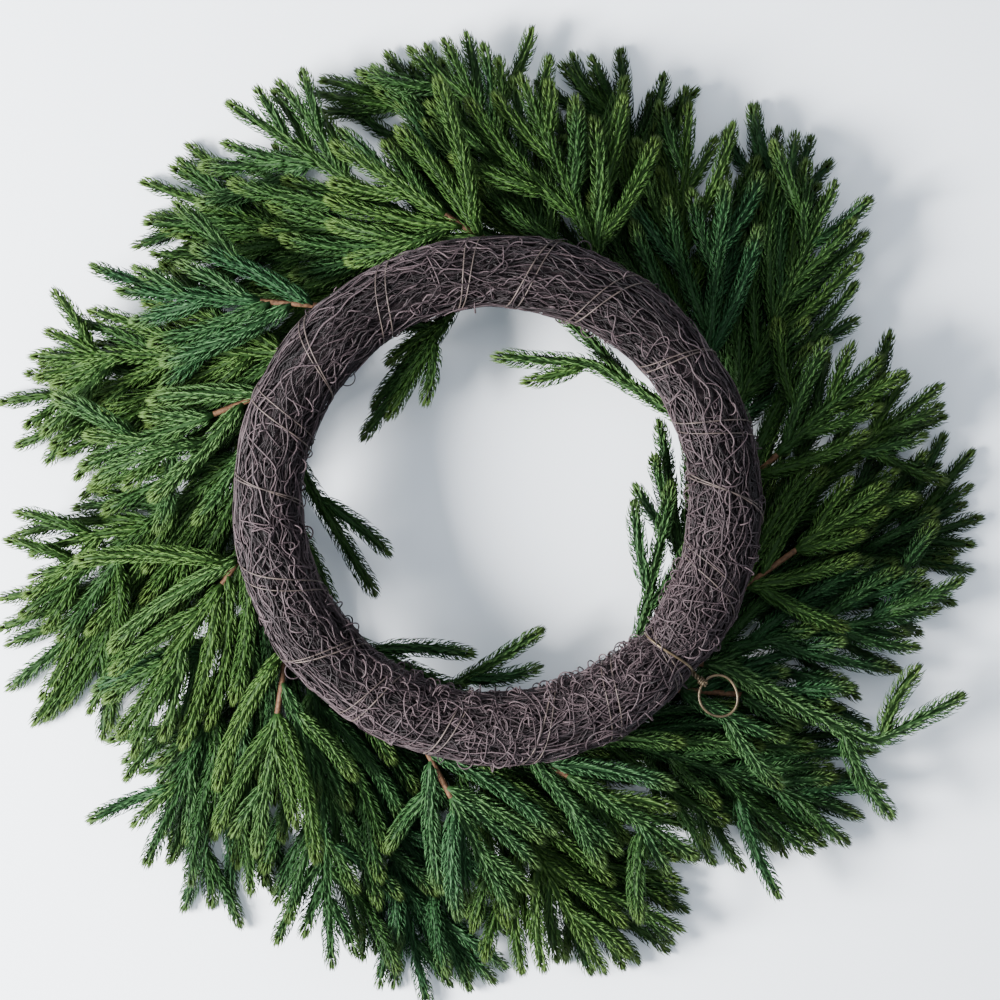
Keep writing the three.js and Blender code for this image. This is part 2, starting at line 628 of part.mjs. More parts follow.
// Each course is laid over the one before, which is further from the surface.
const sprays = [
  listedSpray("spray_stray", STRAY_SPRAY, STRAY_SLOT, 0),
  ...outerCourse(0),
  ...INNER_SPRAYS.map((row, i) => listedSpray(numbered("spray_inner", i), row, INNER_SLOT, 180)),
  ...outerCourse(1),
  ...outerCourse(2),
];

addPiece("vine_ring", vineRingGeometry(), vineBrown);
addPiece("binding_wire", wireGeometry(bindingPoints, BINDING_WIRE_RADIUS, 3), bindingBrown);
addPiece("hanging_wire", hangingWireGeometry(), hangerTan);
for (const spray of sprays) addPiece(spray.name, sprayGeometry(spray), needleGreen);

export default wreath;
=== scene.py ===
# %% [markdown]
# # A fresh evergreen wreath, seen from its back
#
# The wreath lies face down, so what we see first is the ring that it is built on: a thick bundle of thin
# vines. Cut sprigs lie under the ring and sweep outwards, all the same way round, like a pinwheel. This
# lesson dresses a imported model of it. The model has the ring, two wires and 44 plain sprays. We load it,
# and then give each spray thousands of needles and the ring about two thousand vines.

import bpy
import numpy as np
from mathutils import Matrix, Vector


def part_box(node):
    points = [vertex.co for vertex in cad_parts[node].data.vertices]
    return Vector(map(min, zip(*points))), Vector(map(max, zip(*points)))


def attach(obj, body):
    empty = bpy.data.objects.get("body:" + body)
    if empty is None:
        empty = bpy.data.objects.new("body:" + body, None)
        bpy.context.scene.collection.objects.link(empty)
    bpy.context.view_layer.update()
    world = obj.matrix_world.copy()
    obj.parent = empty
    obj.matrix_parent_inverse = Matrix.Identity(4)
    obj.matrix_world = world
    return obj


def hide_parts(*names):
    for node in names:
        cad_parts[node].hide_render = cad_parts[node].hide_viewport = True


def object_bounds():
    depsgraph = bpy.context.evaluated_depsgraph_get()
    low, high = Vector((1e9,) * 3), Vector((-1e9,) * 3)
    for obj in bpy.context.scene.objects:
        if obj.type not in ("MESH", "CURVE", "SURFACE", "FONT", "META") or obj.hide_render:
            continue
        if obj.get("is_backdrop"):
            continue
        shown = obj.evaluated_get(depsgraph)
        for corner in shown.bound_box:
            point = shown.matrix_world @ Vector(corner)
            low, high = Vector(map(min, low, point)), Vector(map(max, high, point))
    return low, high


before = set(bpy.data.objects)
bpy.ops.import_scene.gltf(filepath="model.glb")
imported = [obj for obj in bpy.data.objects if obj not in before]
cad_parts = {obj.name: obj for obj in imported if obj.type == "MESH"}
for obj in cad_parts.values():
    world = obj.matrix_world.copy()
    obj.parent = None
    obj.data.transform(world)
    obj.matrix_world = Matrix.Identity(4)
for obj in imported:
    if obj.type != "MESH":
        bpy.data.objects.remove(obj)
cad_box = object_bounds()
print("nodes:", len(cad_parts), "box:", cad_box)

# %% [markdown]
# ## Units and the ring
#
# Blender works in metres. A wreath is easier to think about in millimetres, measured from the middle of
# its ring, so every shape below is worked out in those, and one function turns them into Blender's metres
# at the end. These sizes are the ones that the solids were made with.

# %% The ring's place and size
MM = 0.001
RING_CENTRE = np.array([4.9, 15.7, 0.0])
RING_OUTER_DIAMETER = 355.0
RING_WIDTH = 50.0  # across the bundle of vines, seen from above
RING_THICKNESS = 44.0  # through the bundle, which is pressed a little flat
RING_LUMPS = 2.4  # how much thinner the bundle gets between its lumps
FOLIAGE_DEPTH = 54.0  # from the surface up to the underside of the ring
RING_RADIUS = (RING_OUTER_DIAMETER - RING_WIDTH) / 2
RING_HEIGHT = FOLIAGE_DEPTH + RING_THICKNESS / 2
HALF_WIDTH = RING_WIDTH / 2
FLATNESS = RING_THICKNESS / RING_WIDTH
HANGER_ANGLE = np.radians(-41.5)  # where the hanging wire goes round the ring
HANGER_PINCH = 3.0  # how far it pulls the vines in
HANGER_PINCH_ANGLE = 0.08  # radians of ring on each side that it pulls on


def bundle_radius(ring_angle):
    """Half the bundle's width: lumpy, by two cosines of the ring angle, and pulled in by a bell curve where
    the hanging wire goes round."""
    lump = RING_LUMPS / 2 * (1 - 0.6 * np.cos(5 * ring_angle) - 0.4 * np.cos(13 * ring_angle + 1))
    off = np.arctan2(np.sin(ring_angle - HANGER_ANGLE), np.cos(ring_angle - HANGER_ANGLE))
    return HALF_WIDTH - lump - HANGER_PINCH * np.exp(-((off / HANGER_PINCH_ANGLE) ** 2))


def bundle_point(ring_angle, round_angle, distance):
    """A point of a ring with a flattened round section: out from the ring's middle by its radius and the
    cosine of the angle round the bundle, and up by the sine of it."""
    radius = RING_RADIUS + distance * np.cos(round_angle)
    height = RING_HEIGHT + distance * FLATNESS * np.sin(round_angle)
    return np.stack([radius * np.cos(ring_angle), radius * np.sin(ring_angle), height], axis=-1)


span = np.ptp(bundle_radius(np.linspace(0, 2 * np.pi, 720)))
print("the bundle's half width varies by", round(float(span), 2), "mm")

# %% [markdown]
# ## The camera
#
# The photograph looks straight down on the wreath, from so far that things near the surface look hardly
# smaller than the ring above them. So the camera stands high above and has a long lens. Its height and
# the width that it sees fix the lens: the lens is to the sensor as the height is to the width.

# %% Camera
PHOTO_PIXELS = 1000
RING_CENTRE_PIXEL = np.array([497.0, 500.0])  # the middle of the ring in the photograph
MM_PER_PIXEL = 0.666  # at the height of the ring
CAMERA_RISE = 2500.0  # above the ring

camera_data = bpy.data.cameras.new("camera")
camera_data.lens = camera_data.sensor_width * CAMERA_RISE / (PHOTO_PIXELS * MM_PER_PIXEL)
camera_data.clip_end = 20
camera = bpy.data.objects.new("camera", camera_data)
bpy.context.scene.collection.objects.link(camera)
middle = (PHOTO_PIXELS / 2 - RING_CENTRE_PIXEL) * [1, -1] * MM_PER_PIXEL
camera.location = (np.append(middle, RING_HEIGHT + CAMERA_RISE) + RING_CENTRE) * MM
bpy.context.scene.camera = camera
print("lens:", round(camera_data.lens, 1), "mm, camera at", [round(v, 3) for v in camera.location])

# %% [markdown]
# ## From arrays to a mesh
#
# Every piece is worked out as whole numpy arrays: points, and faces that name them by number. Blender
# takes such arrays in one go, which is far quicker than adding faces one by one. A piece can carry
# numbers at each of its points, called attributes, and its material reads them.


# %% Helpers that make meshes
def make_piece(name, points, quads, triangles, material, attributes=None):
    """One object, in place, with its faces shaded smooth. Its points are given in millimetres from the
    ring's middle."""
    mesh = bpy.data.meshes.new(name)
    quads, triangles = np.asarray(quads).reshape(-1, 4), np.asarray(triangles).reshape(-1, 3)
    corners = np.concatenate([quads.ravel(), triangles.ravel()]).astype(np.int32)
    counts = np.repeat([4, 3], [len(quads), len(triangles)])
    mesh.vertices.add(len(points))
    mesh.vertices.foreach_set("co", ((points + RING_CENTRE) * MM).astype(np.float32).ravel())
    mesh.loops.add(len(corners))
    mesh.loops.foreach_set("vertex_index", corners)
    mesh.polygons.add(len(counts))
    mesh.polygons.foreach_set("loop_start", np.concatenate([[0], np.cumsum(counts)[:-1]]).astype(np.int32))
    mesh.polygons.foreach_set("use_smooth", np.ones(len(counts), bool))
    mesh.update(calc_edges=True)
    for key, values in (attributes or {}).items():
        layer = mesh.attributes.new(key, "FLOAT", "POINT")
        layer.data.foreach_set("value", np.asarray(values, np.float32))
    mesh.materials.append(material)
    piece = bpy.data.objects.new(name, mesh)
    bpy.context.scene.collection.objects.link(piece)
    return piece


def put_on(piece, node):
    """Puts a piece in the place of a plain solid. It rides on the wreath's one body."""
    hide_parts(node)
    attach(piece, "root")


def unit(vectors):
    """Vectors cut or stretched to a length of one."""
    return vectors / np.maximum(np.linalg.norm(vectors, axis=-1, keepdims=True), 1e-9)


def frames_along(paths):
    """Forward, side and top directions along many paths at once, for points shaped (paths, steps, 3). The
    side direction is carried from step to step: what has come to lie along the path is taken off it."""
    forward = unit(np.gradient(paths, axis=1))
    side = np.empty_like(forward)
    carried = np.cross(forward[:, 0], [0.02, 0.03, 1.0])
    for k in range(paths.shape[1]):
        carried = unit(carried - (carried * forward[:, k]).sum(-1, keepdims=True) * forward[:, k])
        side[:, k] = carried
    return forward, side, np.cross(forward, side)


def tubes(paths, radii, sides):
    """Round tubes on many paths at once. A point of a tube is its path's point plus the radius times the
    side direction turned about the path. Each end is closed by a fan to a point on the path. Gives points,
    quads and triangles."""
    count, steps, _ = paths.shape
    _, side, top = frames_along(paths)
    turn = np.arange(sides) / sides * 2 * np.pi
    ring = side[:, :, None] * np.cos(turn)[:, None] + top[:, :, None] * np.sin(turn)[:, None]
    walls = paths[:, :, None] + ring * np.broadcast_to(radii, (count, steps))[:, :, None, None]
    points = np.concatenate([walls.reshape(count, -1, 3), paths[:, [0, -1]]], axis=1)
    here = np.arange(steps - 1)[:, None] * sides + np.arange(sides)
    after = np.arange(steps - 1)[:, None] * sides + (np.arange(sides) + 1) % sides
    quads = np.stack([here, after, after + sides, here + sides], axis=-1).reshape(-1, 4)
    first, last = np.arange(sides), (steps - 1) * sides + np.arange(sides)
    foot, end = np.full(sides, steps * sides), np.full(sides, steps * sides + 1)
    foot_fan = np.stack([foot, np.roll(first, -1), first], -1)
    fans = np.vstack([foot_fan, np.stack([end, last, np.roll(last, -1)], -1)])
    shift = np.arange(count)[:, None, None] * points.shape[1]
    return points.reshape(-1, 3), (quads + shift).reshape(-1, 4), (fans + shift).reshape(-1, 3)


def smooth_path(points, count):
    """Evenly spaced points on a smooth line through given points. Between two of them the line is a cubic
    that starts and ends in the direction from the point before to the point after."""
    slopes = np.gradient(points, axis=0)
    place = np.linspace(0, len(points) - 1, count)
    i = np.minimum(place.astype(int), len(points) - 2)
    t = (place - i)[:, None]
    ends = points[i] * (2 * t**3 - 3 * t**2 + 1) + points[i + 1] * (3 * t**2 - 2 * t**3)
    return ends + slopes[i] * (t**3 - 2 * t**2 + t) + slopes[i + 1] * (t**3 - t**2)


# %% [markdown]
# ## Materials
#
# Three things colour this wreath: waxy green needles with younger, yellower ends, grey-brown vines with a
# dry skin, and tarnished wire. Each material starts from Blender's Principled shader. Its colour comes
# from the piece's own attributes, which make no two needles or vines quite the same and also carry painted
# light and shade, and from fine noise on the object's coordinates.


# %% Helpers that make materials
def new_material(name, roughness, metallic=0.0, specular=0.5):
    """A material with a Principled shader. Gives its node tree and its shader too."""
    material = bpy.data.materials.new(name)
    material.use_nodes = True
    tree = material.node_tree
    shader = tree.nodes["Principled BSDF"]
    shader.inputs["Roughness"].default_value = roughness
    shader.inputs["Metallic"].default_value = metallic
    shader.inputs["Specular IOR Level"].default_value = specular
    return material, tree, shader


def attribute(tree, name):
    """The value that the piece's points carry under a name."""
    node = tree.nodes.new("ShaderNodeAttribute")
    node.attribute_name = name
    return node.outputs["Fac"]


def noise(tree, scale, detail=3.0):
    """Noise on the object's own coordinates. A scale of 1000 gives spots about a millimetre across."""
    place = tree.nodes.new("ShaderNodeTexCoord")
    node = tree.nodes.new("ShaderNodeTexNoise")
    node.inputs["Scale"].default_value = scale
    node.inputs["Detail"].default_value = detail
    tree.links.new(place.outputs["Object"], node.inputs["Vector"])
    return node.outputs["Fac"]


def ramp(tree, value, stops):
    """Colours that follow a value from 0 to 1: each stop is a place and a colour."""
    node = tree.nodes.new("ShaderNodeValToRGB")
    elements = node.color_ramp.elements
    while len(elements) < len(stops):
        elements.new(0.5)
    for element, (place, colour) in zip(elements, stops):
        element.position = place
        element.color = (*colour, 1)
    tree.links.new(value, node.inputs["Fac"])
    return node.outputs["Color"]


def mix(tree, share, first, second):
    """A colour between two colours, by a share from 0 to 1. Any of the three may be a socket or a value."""
    node = tree.nodes.new("ShaderNodeMix")
    node.data_type = "RGBA"
    for socket, value in ((node.inputs[0], share), (node.inputs[6], first), (node.inputs[7], second)):
        if isinstance(value, bpy.types.NodeSocket):
            tree.links.new(value, socket)
        else:
            socket.default_value = (*value, 1) if isinstance(value, tuple) else value
    return node.outputs[2]


def grey(level):
    """The colour that has one level in all three channels, for shares."""
    return (level, level, level)


def paint(tree, shader, colour):
    """Makes a colour the surface's own."""
    tree.links.new(colour, shader.inputs["Base Color"])


def bump(tree, shader, height, distance):
    """Fine relief: the surface is shaded as if it rose by up to a distance, in metres, with the height."""
    node = tree.nodes.new("ShaderNodeBump")
    node.inputs["Distance"].default_value = distance
    tree.links.new(height, node.inputs["Height"])
    tree.links.new(node.outputs["Normal"], shader.inputs["Normal"])


# %% [markdown]
# ### Needles and bark
#
# A spray is one piece, so its material has to know what is needle and what is bark. Each point carries
# five numbers: shade (how light this needle is, with painted light on top of a twig, and painted shade below
# it and near the surface), hue (0 yellow green to 1 blue green, the same all along a finger), age (0 on a
# finger to 1 at its young tip), tip (0 at a needle's root, which is darkened as painted shade, to 1 at its
# point) and bark (1 on wood). The ramps below turn them into colour.

# %% Needle material
WARM_GREENS = [(0.0, (0.0039, 0.0156, 0.0024)), (0.5, (0.0215, 0.057, 0.0085)), (1.0, (0.058, 0.113, 0.026))]
COOL_GREENS = [
    (0.0, (0.00273, 0.0141, 0.00469)),
    (0.5, (0.0125, 0.0484, 0.0156)),
    (1.0, (0.0406, 0.103, 0.0437)),
]
YOUNG_GREEN, ROOT_SHADE_GREEN = (0.067, 0.107, 0.021), (0.004, 0.014, 0.003)
WOOD_BROWNS = [(0.3, (0.035, 0.017, 0.009)), (0.7, (0.125, 0.066, 0.035))]

needle_material, tree, shader = new_material("evergreen_needles", 0.6, specular=0.14)
warm = ramp(tree, attribute(tree, "shade"), WARM_GREENS)
cool = ramp(tree, attribute(tree, "shade"), COOL_GREENS)
green = mix(tree, attribute(tree, "hue"), warm, cool)
young_share = ramp(tree, attribute(tree, "age"), [(0.2, grey(0)), (1.0, grey(0.5))])
young = mix(tree, young_share, green, YOUNG_GREEN)
# Painted shade: needles darken towards their roots, deep inside the finger.
root_shade_share = ramp(tree, attribute(tree, "tip"), [(0.0, grey(0.75)), (0.3, grey(0.45)), (0.75, grey(0))])
needle = mix(tree, root_shade_share, young, ROOT_SHADE_GREEN)
wood = ramp(tree, noise(tree, 420.0), WOOD_BROWNS)
paint(tree, shader, mix(tree, attribute(tree, "bark"), needle, wood))
bump(tree, shader, noise(tree, 900.0), 0.0003)
print("needle material:", len(tree.nodes), "nodes")

# %% [markdown]
# ### Vines and wires
#
# The vines are old and dry: mauve grey, with pale spots and nearly black gaps, which are painted shade.
# Each vine has a shade of its own, darker the deeper it lies as painted shade, and noise puts pale spots
# on its skin. The binding wire has gone brown. The hanging wire shines a little more, since it is newer.

# %% Vine and wire materials
VINE_GREYS = [
    (0.0, (0.0027, 0.0011, 0.0018)),
    (0.3, (0.0047, 0.0021, 0.003)),
    (0.6, (0.0141, 0.0079, 0.01)),
    (1.0, (0.062, 0.0418, 0.047)),
]
PALE_SPOT_GREY = (0.06, 0.043, 0.049)
CORE_DUSK = [(0.35, (0.004, 0.0016, 0.0022)), (0.7, (0.022, 0.011, 0.0145))]
BINDING_TARNISH = [(0.3, (0.02625, 0.018, 0.0165)), (0.75, (0.1125, 0.0825, 0.07125))]
HANGER_BRASS = [(0.3, (0.03, 0.021, 0.011)), (0.7, (0.115, 0.083, 0.045))]

vine_material, tree, shader = new_material("dry_vine", 0.6, specular=0.3)
own = ramp(tree, attribute(tree, "shade"), VINE_GREYS)
# Pale spots on the vines, placed by noise.
pale_spot_share = ramp(tree, noise(tree, 260.0, 5.0), [(0.5, grey(0)), (0.8, grey(0.27))])
paint(tree, shader, mix(tree, pale_spot_share, own, PALE_SPOT_GREY))
bump(tree, shader, noise(tree, 1400.0, 4.0), 0.0004)

core_material, tree, shader = new_material("vine_core", 0.95)
paint(tree, shader, ramp(tree, noise(tree, 300.0, 4.0), CORE_DUSK))
bump(tree, shader, noise(tree, 500.0, 4.0), 0.002)

binding_material, tree, shader = new_material("binding_wire", 0.55, 0.3)
paint(tree, shader, ramp(tree, noise(tree, 180.0, 4.0), BINDING_TARNISH))
bump(tree, shader, noise(tree, 2500.0), 0.0001)

hanger_material, tree, shader = new_material("hanging_wire", 0.38, 0.5)
paint(tree, shader, ramp(tree, noise(tree, 120.0, 4.0), HANGER_BRASS))
bump(tree, shader, noise(tree, 2500.0), 0.0001)
print("materials:", len(bpy.data.materials))

# %% [markdown]
# ## Where the sprays lie
#
# The fine sprays must lie where the plain ones do, so they are laid by the same rules. Seen from above, a
# stem starts along the ring and turns outwards, and its fingers fork off to the left and the right by
# turns. Seen from the side, each new spray passes below all that was laid before it, as a maker's next
# sprig does when the wreath is bound face down. The rules need numbers that look random but are always
# the same, so they come from a seeded formula: each is the one before, multiplied, added to, and cut off.

# %% The numbers of the laying rules
STEP = 7.0  # between the points that a stem or a finger is bent at
NEEDLE_REACH = 6.2  # from the middle of a finger to its needle tips
TIP_REACH = 5.1  # the same near the end of a finger
TWIG_RADIUS = 2.2
STEM_RADIUS = 2.4  # the bare woody foot of a spray
GAP = 1.4  # kept between two sprays
RING_GAP = 0.8  # kept between a spray and the ring
STEEPEST = 0.42  # slope of a finger that is bent under another
STEEPEST_BARE = 1.5  # slope of a bare stem
PRESSED = 1.2  # how far needles that rest on the surface are pressed in
OUTLINE_RADIUS = 328.0  # of the tips, from the middle of the ring
OUTLINE_OFFSET = 13.0  # the tips reach this much further at the lower left
OUTLINE_OFFSET_ANGLE = np.radians(215)
OUTER_SPRAYS = 35
FORK_SPACING = [2, 4]
FORK_SPREAD = 31.0
FINGER_SHARE = 0.8
FINGER_STEPS = [7, 13]
VARY = {"place": 0.25, "lean": 7, "reach": 0.035, "lift": 3, "fork": 3, "share": 0.15, "rise": 5}

# Outer sprays come in three courses. The back one lies against the ring, so we see it best. Its fields are
# reach, height at the ring's edge, height at the tips, lean in degrees, and how far out it is bare.
COURSES = {
    "back": (0.84, 56.0, 50.0, 50.0, 172.0),
    "middle": (0.96, 38.0, 28.0, 48.0, 172.0),
    "front": (1.0, 17.0, 5.0, 46.0, 0.0),
}

# A few sprays point into the hole: ring angle, lean, steps of stem, height of the tip, bend of the stem,
# and each finger's fork point, side, spread and steps.
INNER_SPRAYS = [
    (81, 78, 21, 46, 0, [(13, 1, 26, 7)]),
    (94, 34, 23, 42, 0, [(13, -1, 30, 9), (15, 1, 30, 7)]),
    (163, 42, 23, 36, 0, [(13, 1, 30, 9)]),
    (213, 58, 23, 40, 0, [(13, 1, 34, 9)]),
    (247, 34, 21, 38, 0, [(13, -1, 34, 7)]),
    (306, 48, 25, 40, 0, [(13, -1, 30, 9), (15, 1, 30, 9)]),
    (328, 43, 23, 44, 0, [(13, -1, 30, 9), (15, 1, 30, 7)]),
    (15, 47, 29, 44, 28, [(17, 1, 30, 9), (21, 1, 40, 7)]),
]
STRAY_SPRAY = (-37, 10, 35, 44, 55, [(23, -1, 50, 9), (27, 1, 70, 9)])

random_state = 20


def spread(most):
    """The next seeded number, from minus most to most."""
    global random_state
    random_state = (random_state * 1664525 + 1013904223) % 4294967296
    return (random_state / 4294967296 * 2 - 1) * most


def smoothstep(t):
    """Rises from 0 to 1 with level ends: three times the square less twice the cube."""
    s = np.clip(t, 0, 1)
    return s * s * (3 - 2 * s)


# %% [markdown]
# ### Walking a strand
#
# A strand, which is a stem or a finger, is walked: from each point it goes one step along its heading at
# the middle of that step. All steps are worked out at once, and added up.


# %% Strands seen from above
FOOT_POINTS = 3  # the points of a stem that come down from the ring
TURN_START, TURN_LENGTH = 14.0, 70.0  # where and over what length a stem turns to its own heading
UNDER_RING_ANGLE = np.radians(19)  # of ring that a stem runs along
BEND_FROM_TIP, BEND_STEPS = 11, 4
FINGER_CURL = 0.6  # of its spread that a finger turns back by its tip


def walk(start, steps, heading_at):
    """A strand's points: the start, plus the running sum of steps along the headings."""
    heading = np.concatenate([[heading_at(0.0)], heading_at((np.arange(1, steps + 1) - 0.5) * STEP)])
    ahead = STEP * np.stack([np.cos(heading[1:]), np.sin(heading[1:])], axis=-1)
    return {"xy": np.vstack([start, start + np.cumsum(ahead, axis=0)]), "heading": heading}


def stem_from(foot_angle, slot, heading, bend, steps):
    """A stem that starts along the ring, turns smoothly to its heading, and may bend again near its tip."""
    start = (RING_RADIUS + slot) * np.array([np.cos(foot_angle), np.sin(foot_angle)])
    along = foot_angle + np.pi / 2
    bend_start = (steps - BEND_FROM_TIP) * STEP

    def heading_at(distance):
        turned = (heading - along) * smoothstep((distance - TURN_START) / TURN_LENGTH)
        return along + turned + bend * smoothstep((distance - bend_start) / (BEND_STEPS * STEP))

    return walk(start, steps, heading_at)


def finger_from(stem, fork, side, spread_angle, steps):
    """A finger that leaves its stem at an angle and then turns back towards the stem's heading."""
    length = steps * STEP
    heading = stem["heading"][fork]
    return walk(
        stem["xy"][fork],
        steps,
        lambda distance: heading + side * spread_angle * (1 - FINGER_CURL * (distance / length)),
    )


def shorten(strand, count):
    """Keeps a strand's first points."""
    return {key: values[:count] for key, values in strand.items()}


def cut_before(strand, blocked):
    """Ends a strand, with an even number of points, before the first blocked one."""
    return shorten(strand, 2 * (int(np.argmax(blocked)) // 2)) if blocked.any() else strand


def cut_at_reach(strand, reach):
    """Ends a strand, with an even number of points, where it gets this far from the ring's middle."""
    far = np.hypot(*strand["xy"].T) >= reach
    far[: FOOT_POINTS + 1] = False
    last = int(np.argmax(far)) if far.any() else len(far) - 1
    return shorten(strand, 2 * ((last + 1) // 2))


print("a test stem ends at", stem_from(0.0, 0.0, 1.0, 0.0, 30)["xy"][-1].round(1))

# %% [markdown]
# ### What is already there
#
# Each point that is laid is kept with its height and its reach. A new point's ceiling is worked out from
# circles: where its room overlaps another's, seen from above, it must stay under that one's height less
# the rest of the room. The ring and its wires are there first.

# %% Ceilings
BINDING_TURNS, BINDING_WIRE_RADIUS, BINDING_STAND_OFF = 18, 0.65, 2.4
HANGER_WIRE_RADIUS, HANGER_STAND_OFF = 1.0, 4.6
HANGER_TWIST_LENGTH, HANGER_LOOP_RADIUS = 9.0, 13.0
hanger_distance = bundle_radius(HANGER_ANGLE) + HANGER_STAND_OFF


def binding_point(share):
    """The binding wire's middle line: it goes round the bundle as it goes round the ring."""
    ring_angle = np.asarray(share) * 2 * np.pi
    round_angle = BINDING_TURNS * ring_angle + np.pi / 2
    return bundle_point(ring_angle, round_angle, bundle_radius(ring_angle) + BINDING_STAND_OFF)


def laid_rows(points, reach):
    """Rows of x, y, height and reach for points that are all below the middle of the ring."""
    low = points[points[:, 2] < RING_HEIGHT]
    return np.column_stack([low, np.full(len(low), reach)])


outwards = np.array([np.cos(HANGER_ANGLE), np.sin(HANGER_ANGLE), 0.0])
twist_start = RING_RADIUS + hanger_distance - HANGER_WIRE_RADIUS
loop_distance = twist_start + HANGER_TWIST_LENGTH - HANGER_WIRE_RADIUS + HANGER_LOOP_RADIUS
loop_centre = outwards * loop_distance + [0, 0, RING_HEIGHT]
loop_reach = HANGER_LOOP_RADIUS + HANGER_WIRE_RADIUS
hanger_round = bundle_point(HANGER_ANGLE, np.arange(16) / 16 * 2 * np.pi, hanger_distance)
laid = np.vstack(
    [
        laid_rows(binding_point(np.arange(40 * BINDING_TURNS) / (40 * BINDING_TURNS)), BINDING_WIRE_RADIUS),
        laid_rows(hanger_round, HANGER_WIRE_RADIUS),
        [*(loop_centre + [0, 0, loop_reach]), loop_reach],
    ]
)


def ring_ceiling(xy, reach):
    """Under the ring a strand stays below the half ellipse of the bundle's section, grown by its room."""
    room = reach + RING_GAP
    across = (np.hypot(*xy.T) - RING_RADIUS) / (HALF_WIDTH + room)
    under = RING_HEIGHT - (RING_THICKNESS / 2 + room) * np.sqrt(np.maximum(1 - across**2, 0))
    return np.where(np.abs(across) < 1, under, np.inf)


def laid_ceiling(xy, reach):
    """The lowest of the heights that the laid points leave, each less the root of the room's square less
    the distance's square."""
    room = np.reshape(reach, (-1, 1)) + laid[:, 3] + GAP
    apart = (xy[:, :1] - laid[:, 0]) ** 2 + (xy[:, 1:] - laid[:, 1]) ** 2
    inside = room * room - apart
    return np.where(inside > 0, laid[:, 2] - np.sqrt(np.maximum(inside, 0)), np.inf).min(axis=1)


print("points of wire laid first:", len(laid))

# %% [markdown]
# ### Finding a foot
#
# A stem's foot should lie close against the ring. Nine places across the ring and 21 along it are tried,
# and the one with the lowest cost wins: how far it is from where it is wanted, and how far below the ring
# it has to lie. The three foot points run straight, so all the places are tried in one array.

# %% Stems with their feet in place
SLOTS = np.arange(-12, 13, 3)
FOOT_SHIFT = np.radians(1)
MOST_SHIFTS = 10
SHIFT_COST = 2.0
LISTED_NEAR_HEIGHT = FOLIAGE_DEPTH - 9


def stem_with_foot(angle, wanted_slot, heading, bend, steps):
    """Tries every slot and shift, and walks the stem from the best."""
    shifts = np.arange(-MOST_SHIFTS, MOST_SHIFTS + 1)
    slot, shift = (grid.ravel() for grid in np.meshgrid(SLOTS, shifts, indexing="ij"))
    foot_angle = angle - UNDER_RING_ANGLE + shift * FOOT_SHIFT
    start = (RING_RADIUS + slot)[:, None] * np.stack([np.cos(foot_angle), np.sin(foot_angle)], -1)
    along = STEP * np.stack([-np.sin(foot_angle), np.cos(foot_angle)], -1)
    tried = start[:, None] + along[:, None] * np.arange(FOOT_POINTS)[:, None]
    ceilings = laid_ceiling(tried.reshape(-1, 2), STEM_RADIUS).reshape(-1, FOOT_POINTS)
    drop = FOLIAGE_DEPTH - np.minimum(FOLIAGE_DEPTH, ceilings.min(axis=1))
    best = np.argmin(np.abs(shift) * SHIFT_COST + np.abs(slot - wanted_slot) + drop)
    return stem_from(foot_angle[best], slot[best], heading, bend, steps)


# %% [markdown]
# ### Laying a spray
#
# Each point wants a height and has a ceiling. The strand takes the highest line under its ceilings that is
# nowhere too steep. A finger that would get too low is cut short, and so is one that would meet its own
# stem. A finger also pulls its fork down if it has to.

# %% Heights of a spray's strands
YOUNG_STEPS = 6
SHORTEST_FINGER = 6
CROTCH = 4
OWN_ROOM = 1.6 * NEEDLE_REACH
FULL_RISE = 6
FALL_POWER = 1.3


def give_reach(strand, clad_index):
    """How far a strand reaches at each point: bare, then clad in needles, younger towards the tip."""
    i = np.arange(len(strand["xy"]))
    young = smoothstep((i - i[-1] + YOUNG_STEPS) / (YOUNG_STEPS - 1))
    clad = NEEDLE_REACH + (TIP_REACH - NEEDLE_REACH) * young
    strand["reach"] = np.where(i < clad_index, STEM_RADIUS, clad)
    strand["reach"][-1] = TWIG_RADIUS


def give_ceilings(strand, wanted, is_stem):
    """The wanted heights, or the highest that the strand may have, cut short where there is no room."""
    lowest = strand["reach"] - PRESSED
    wanted = np.maximum(wanted, lowest)
    if is_stem:
        wanted[:FOOT_POINTS] = FOLIAGE_DEPTH
    where = strand["xy"], strand["reach"]
    strand["ceiling"] = np.minimum(wanted, np.minimum(ring_ceiling(*where), laid_ceiling(*where)))
    return cut_before(strand, strand["ceiling"] < lowest)


def ease_under(strand):
    """The highest line under the ceilings that is nowhere too steep: a slope limit forwards, and one
    backwards. A strand is straight between every second point."""
    top, reach = strand["ceiling"], strand["reach"]
    rise = STEP * np.where(reach > STEM_RADIUS, STEEPEST, STEEPEST_BARE)
    heights = top.copy()
    last = len(top) - 1
    even = np.arange(0, last + 1, 2)
    before, after = top[np.maximum(even - 1, 0)], top[np.minimum(even + 1, last)]
    heights[even] = np.minimum(top[even], np.minimum(before, after))
    for i in range(1, last + 1):
        heights[i] = min(heights[i], heights[i - 1] + rise[i])
    for i in range(last - 1, -1, -1):
        heights[i] = min(heights[i], heights[i + 1] + rise[i + 1])
    heights[1:last:2] = (heights[0 : last - 1 : 2] + heights[2 : last + 1 : 2]) / 2
    return heights


def keep_clear_of_own(strand, others):
    """Cuts a finger short where, seen from above, it would meet its own stem or a finger before it."""
    apart = np.linalg.norm(strand["xy"][:, None] - others, axis=-1).min(axis=1)
    met = apart < OWN_ROOM
    met[:CROTCH] = False
    return cut_before(strand, met)


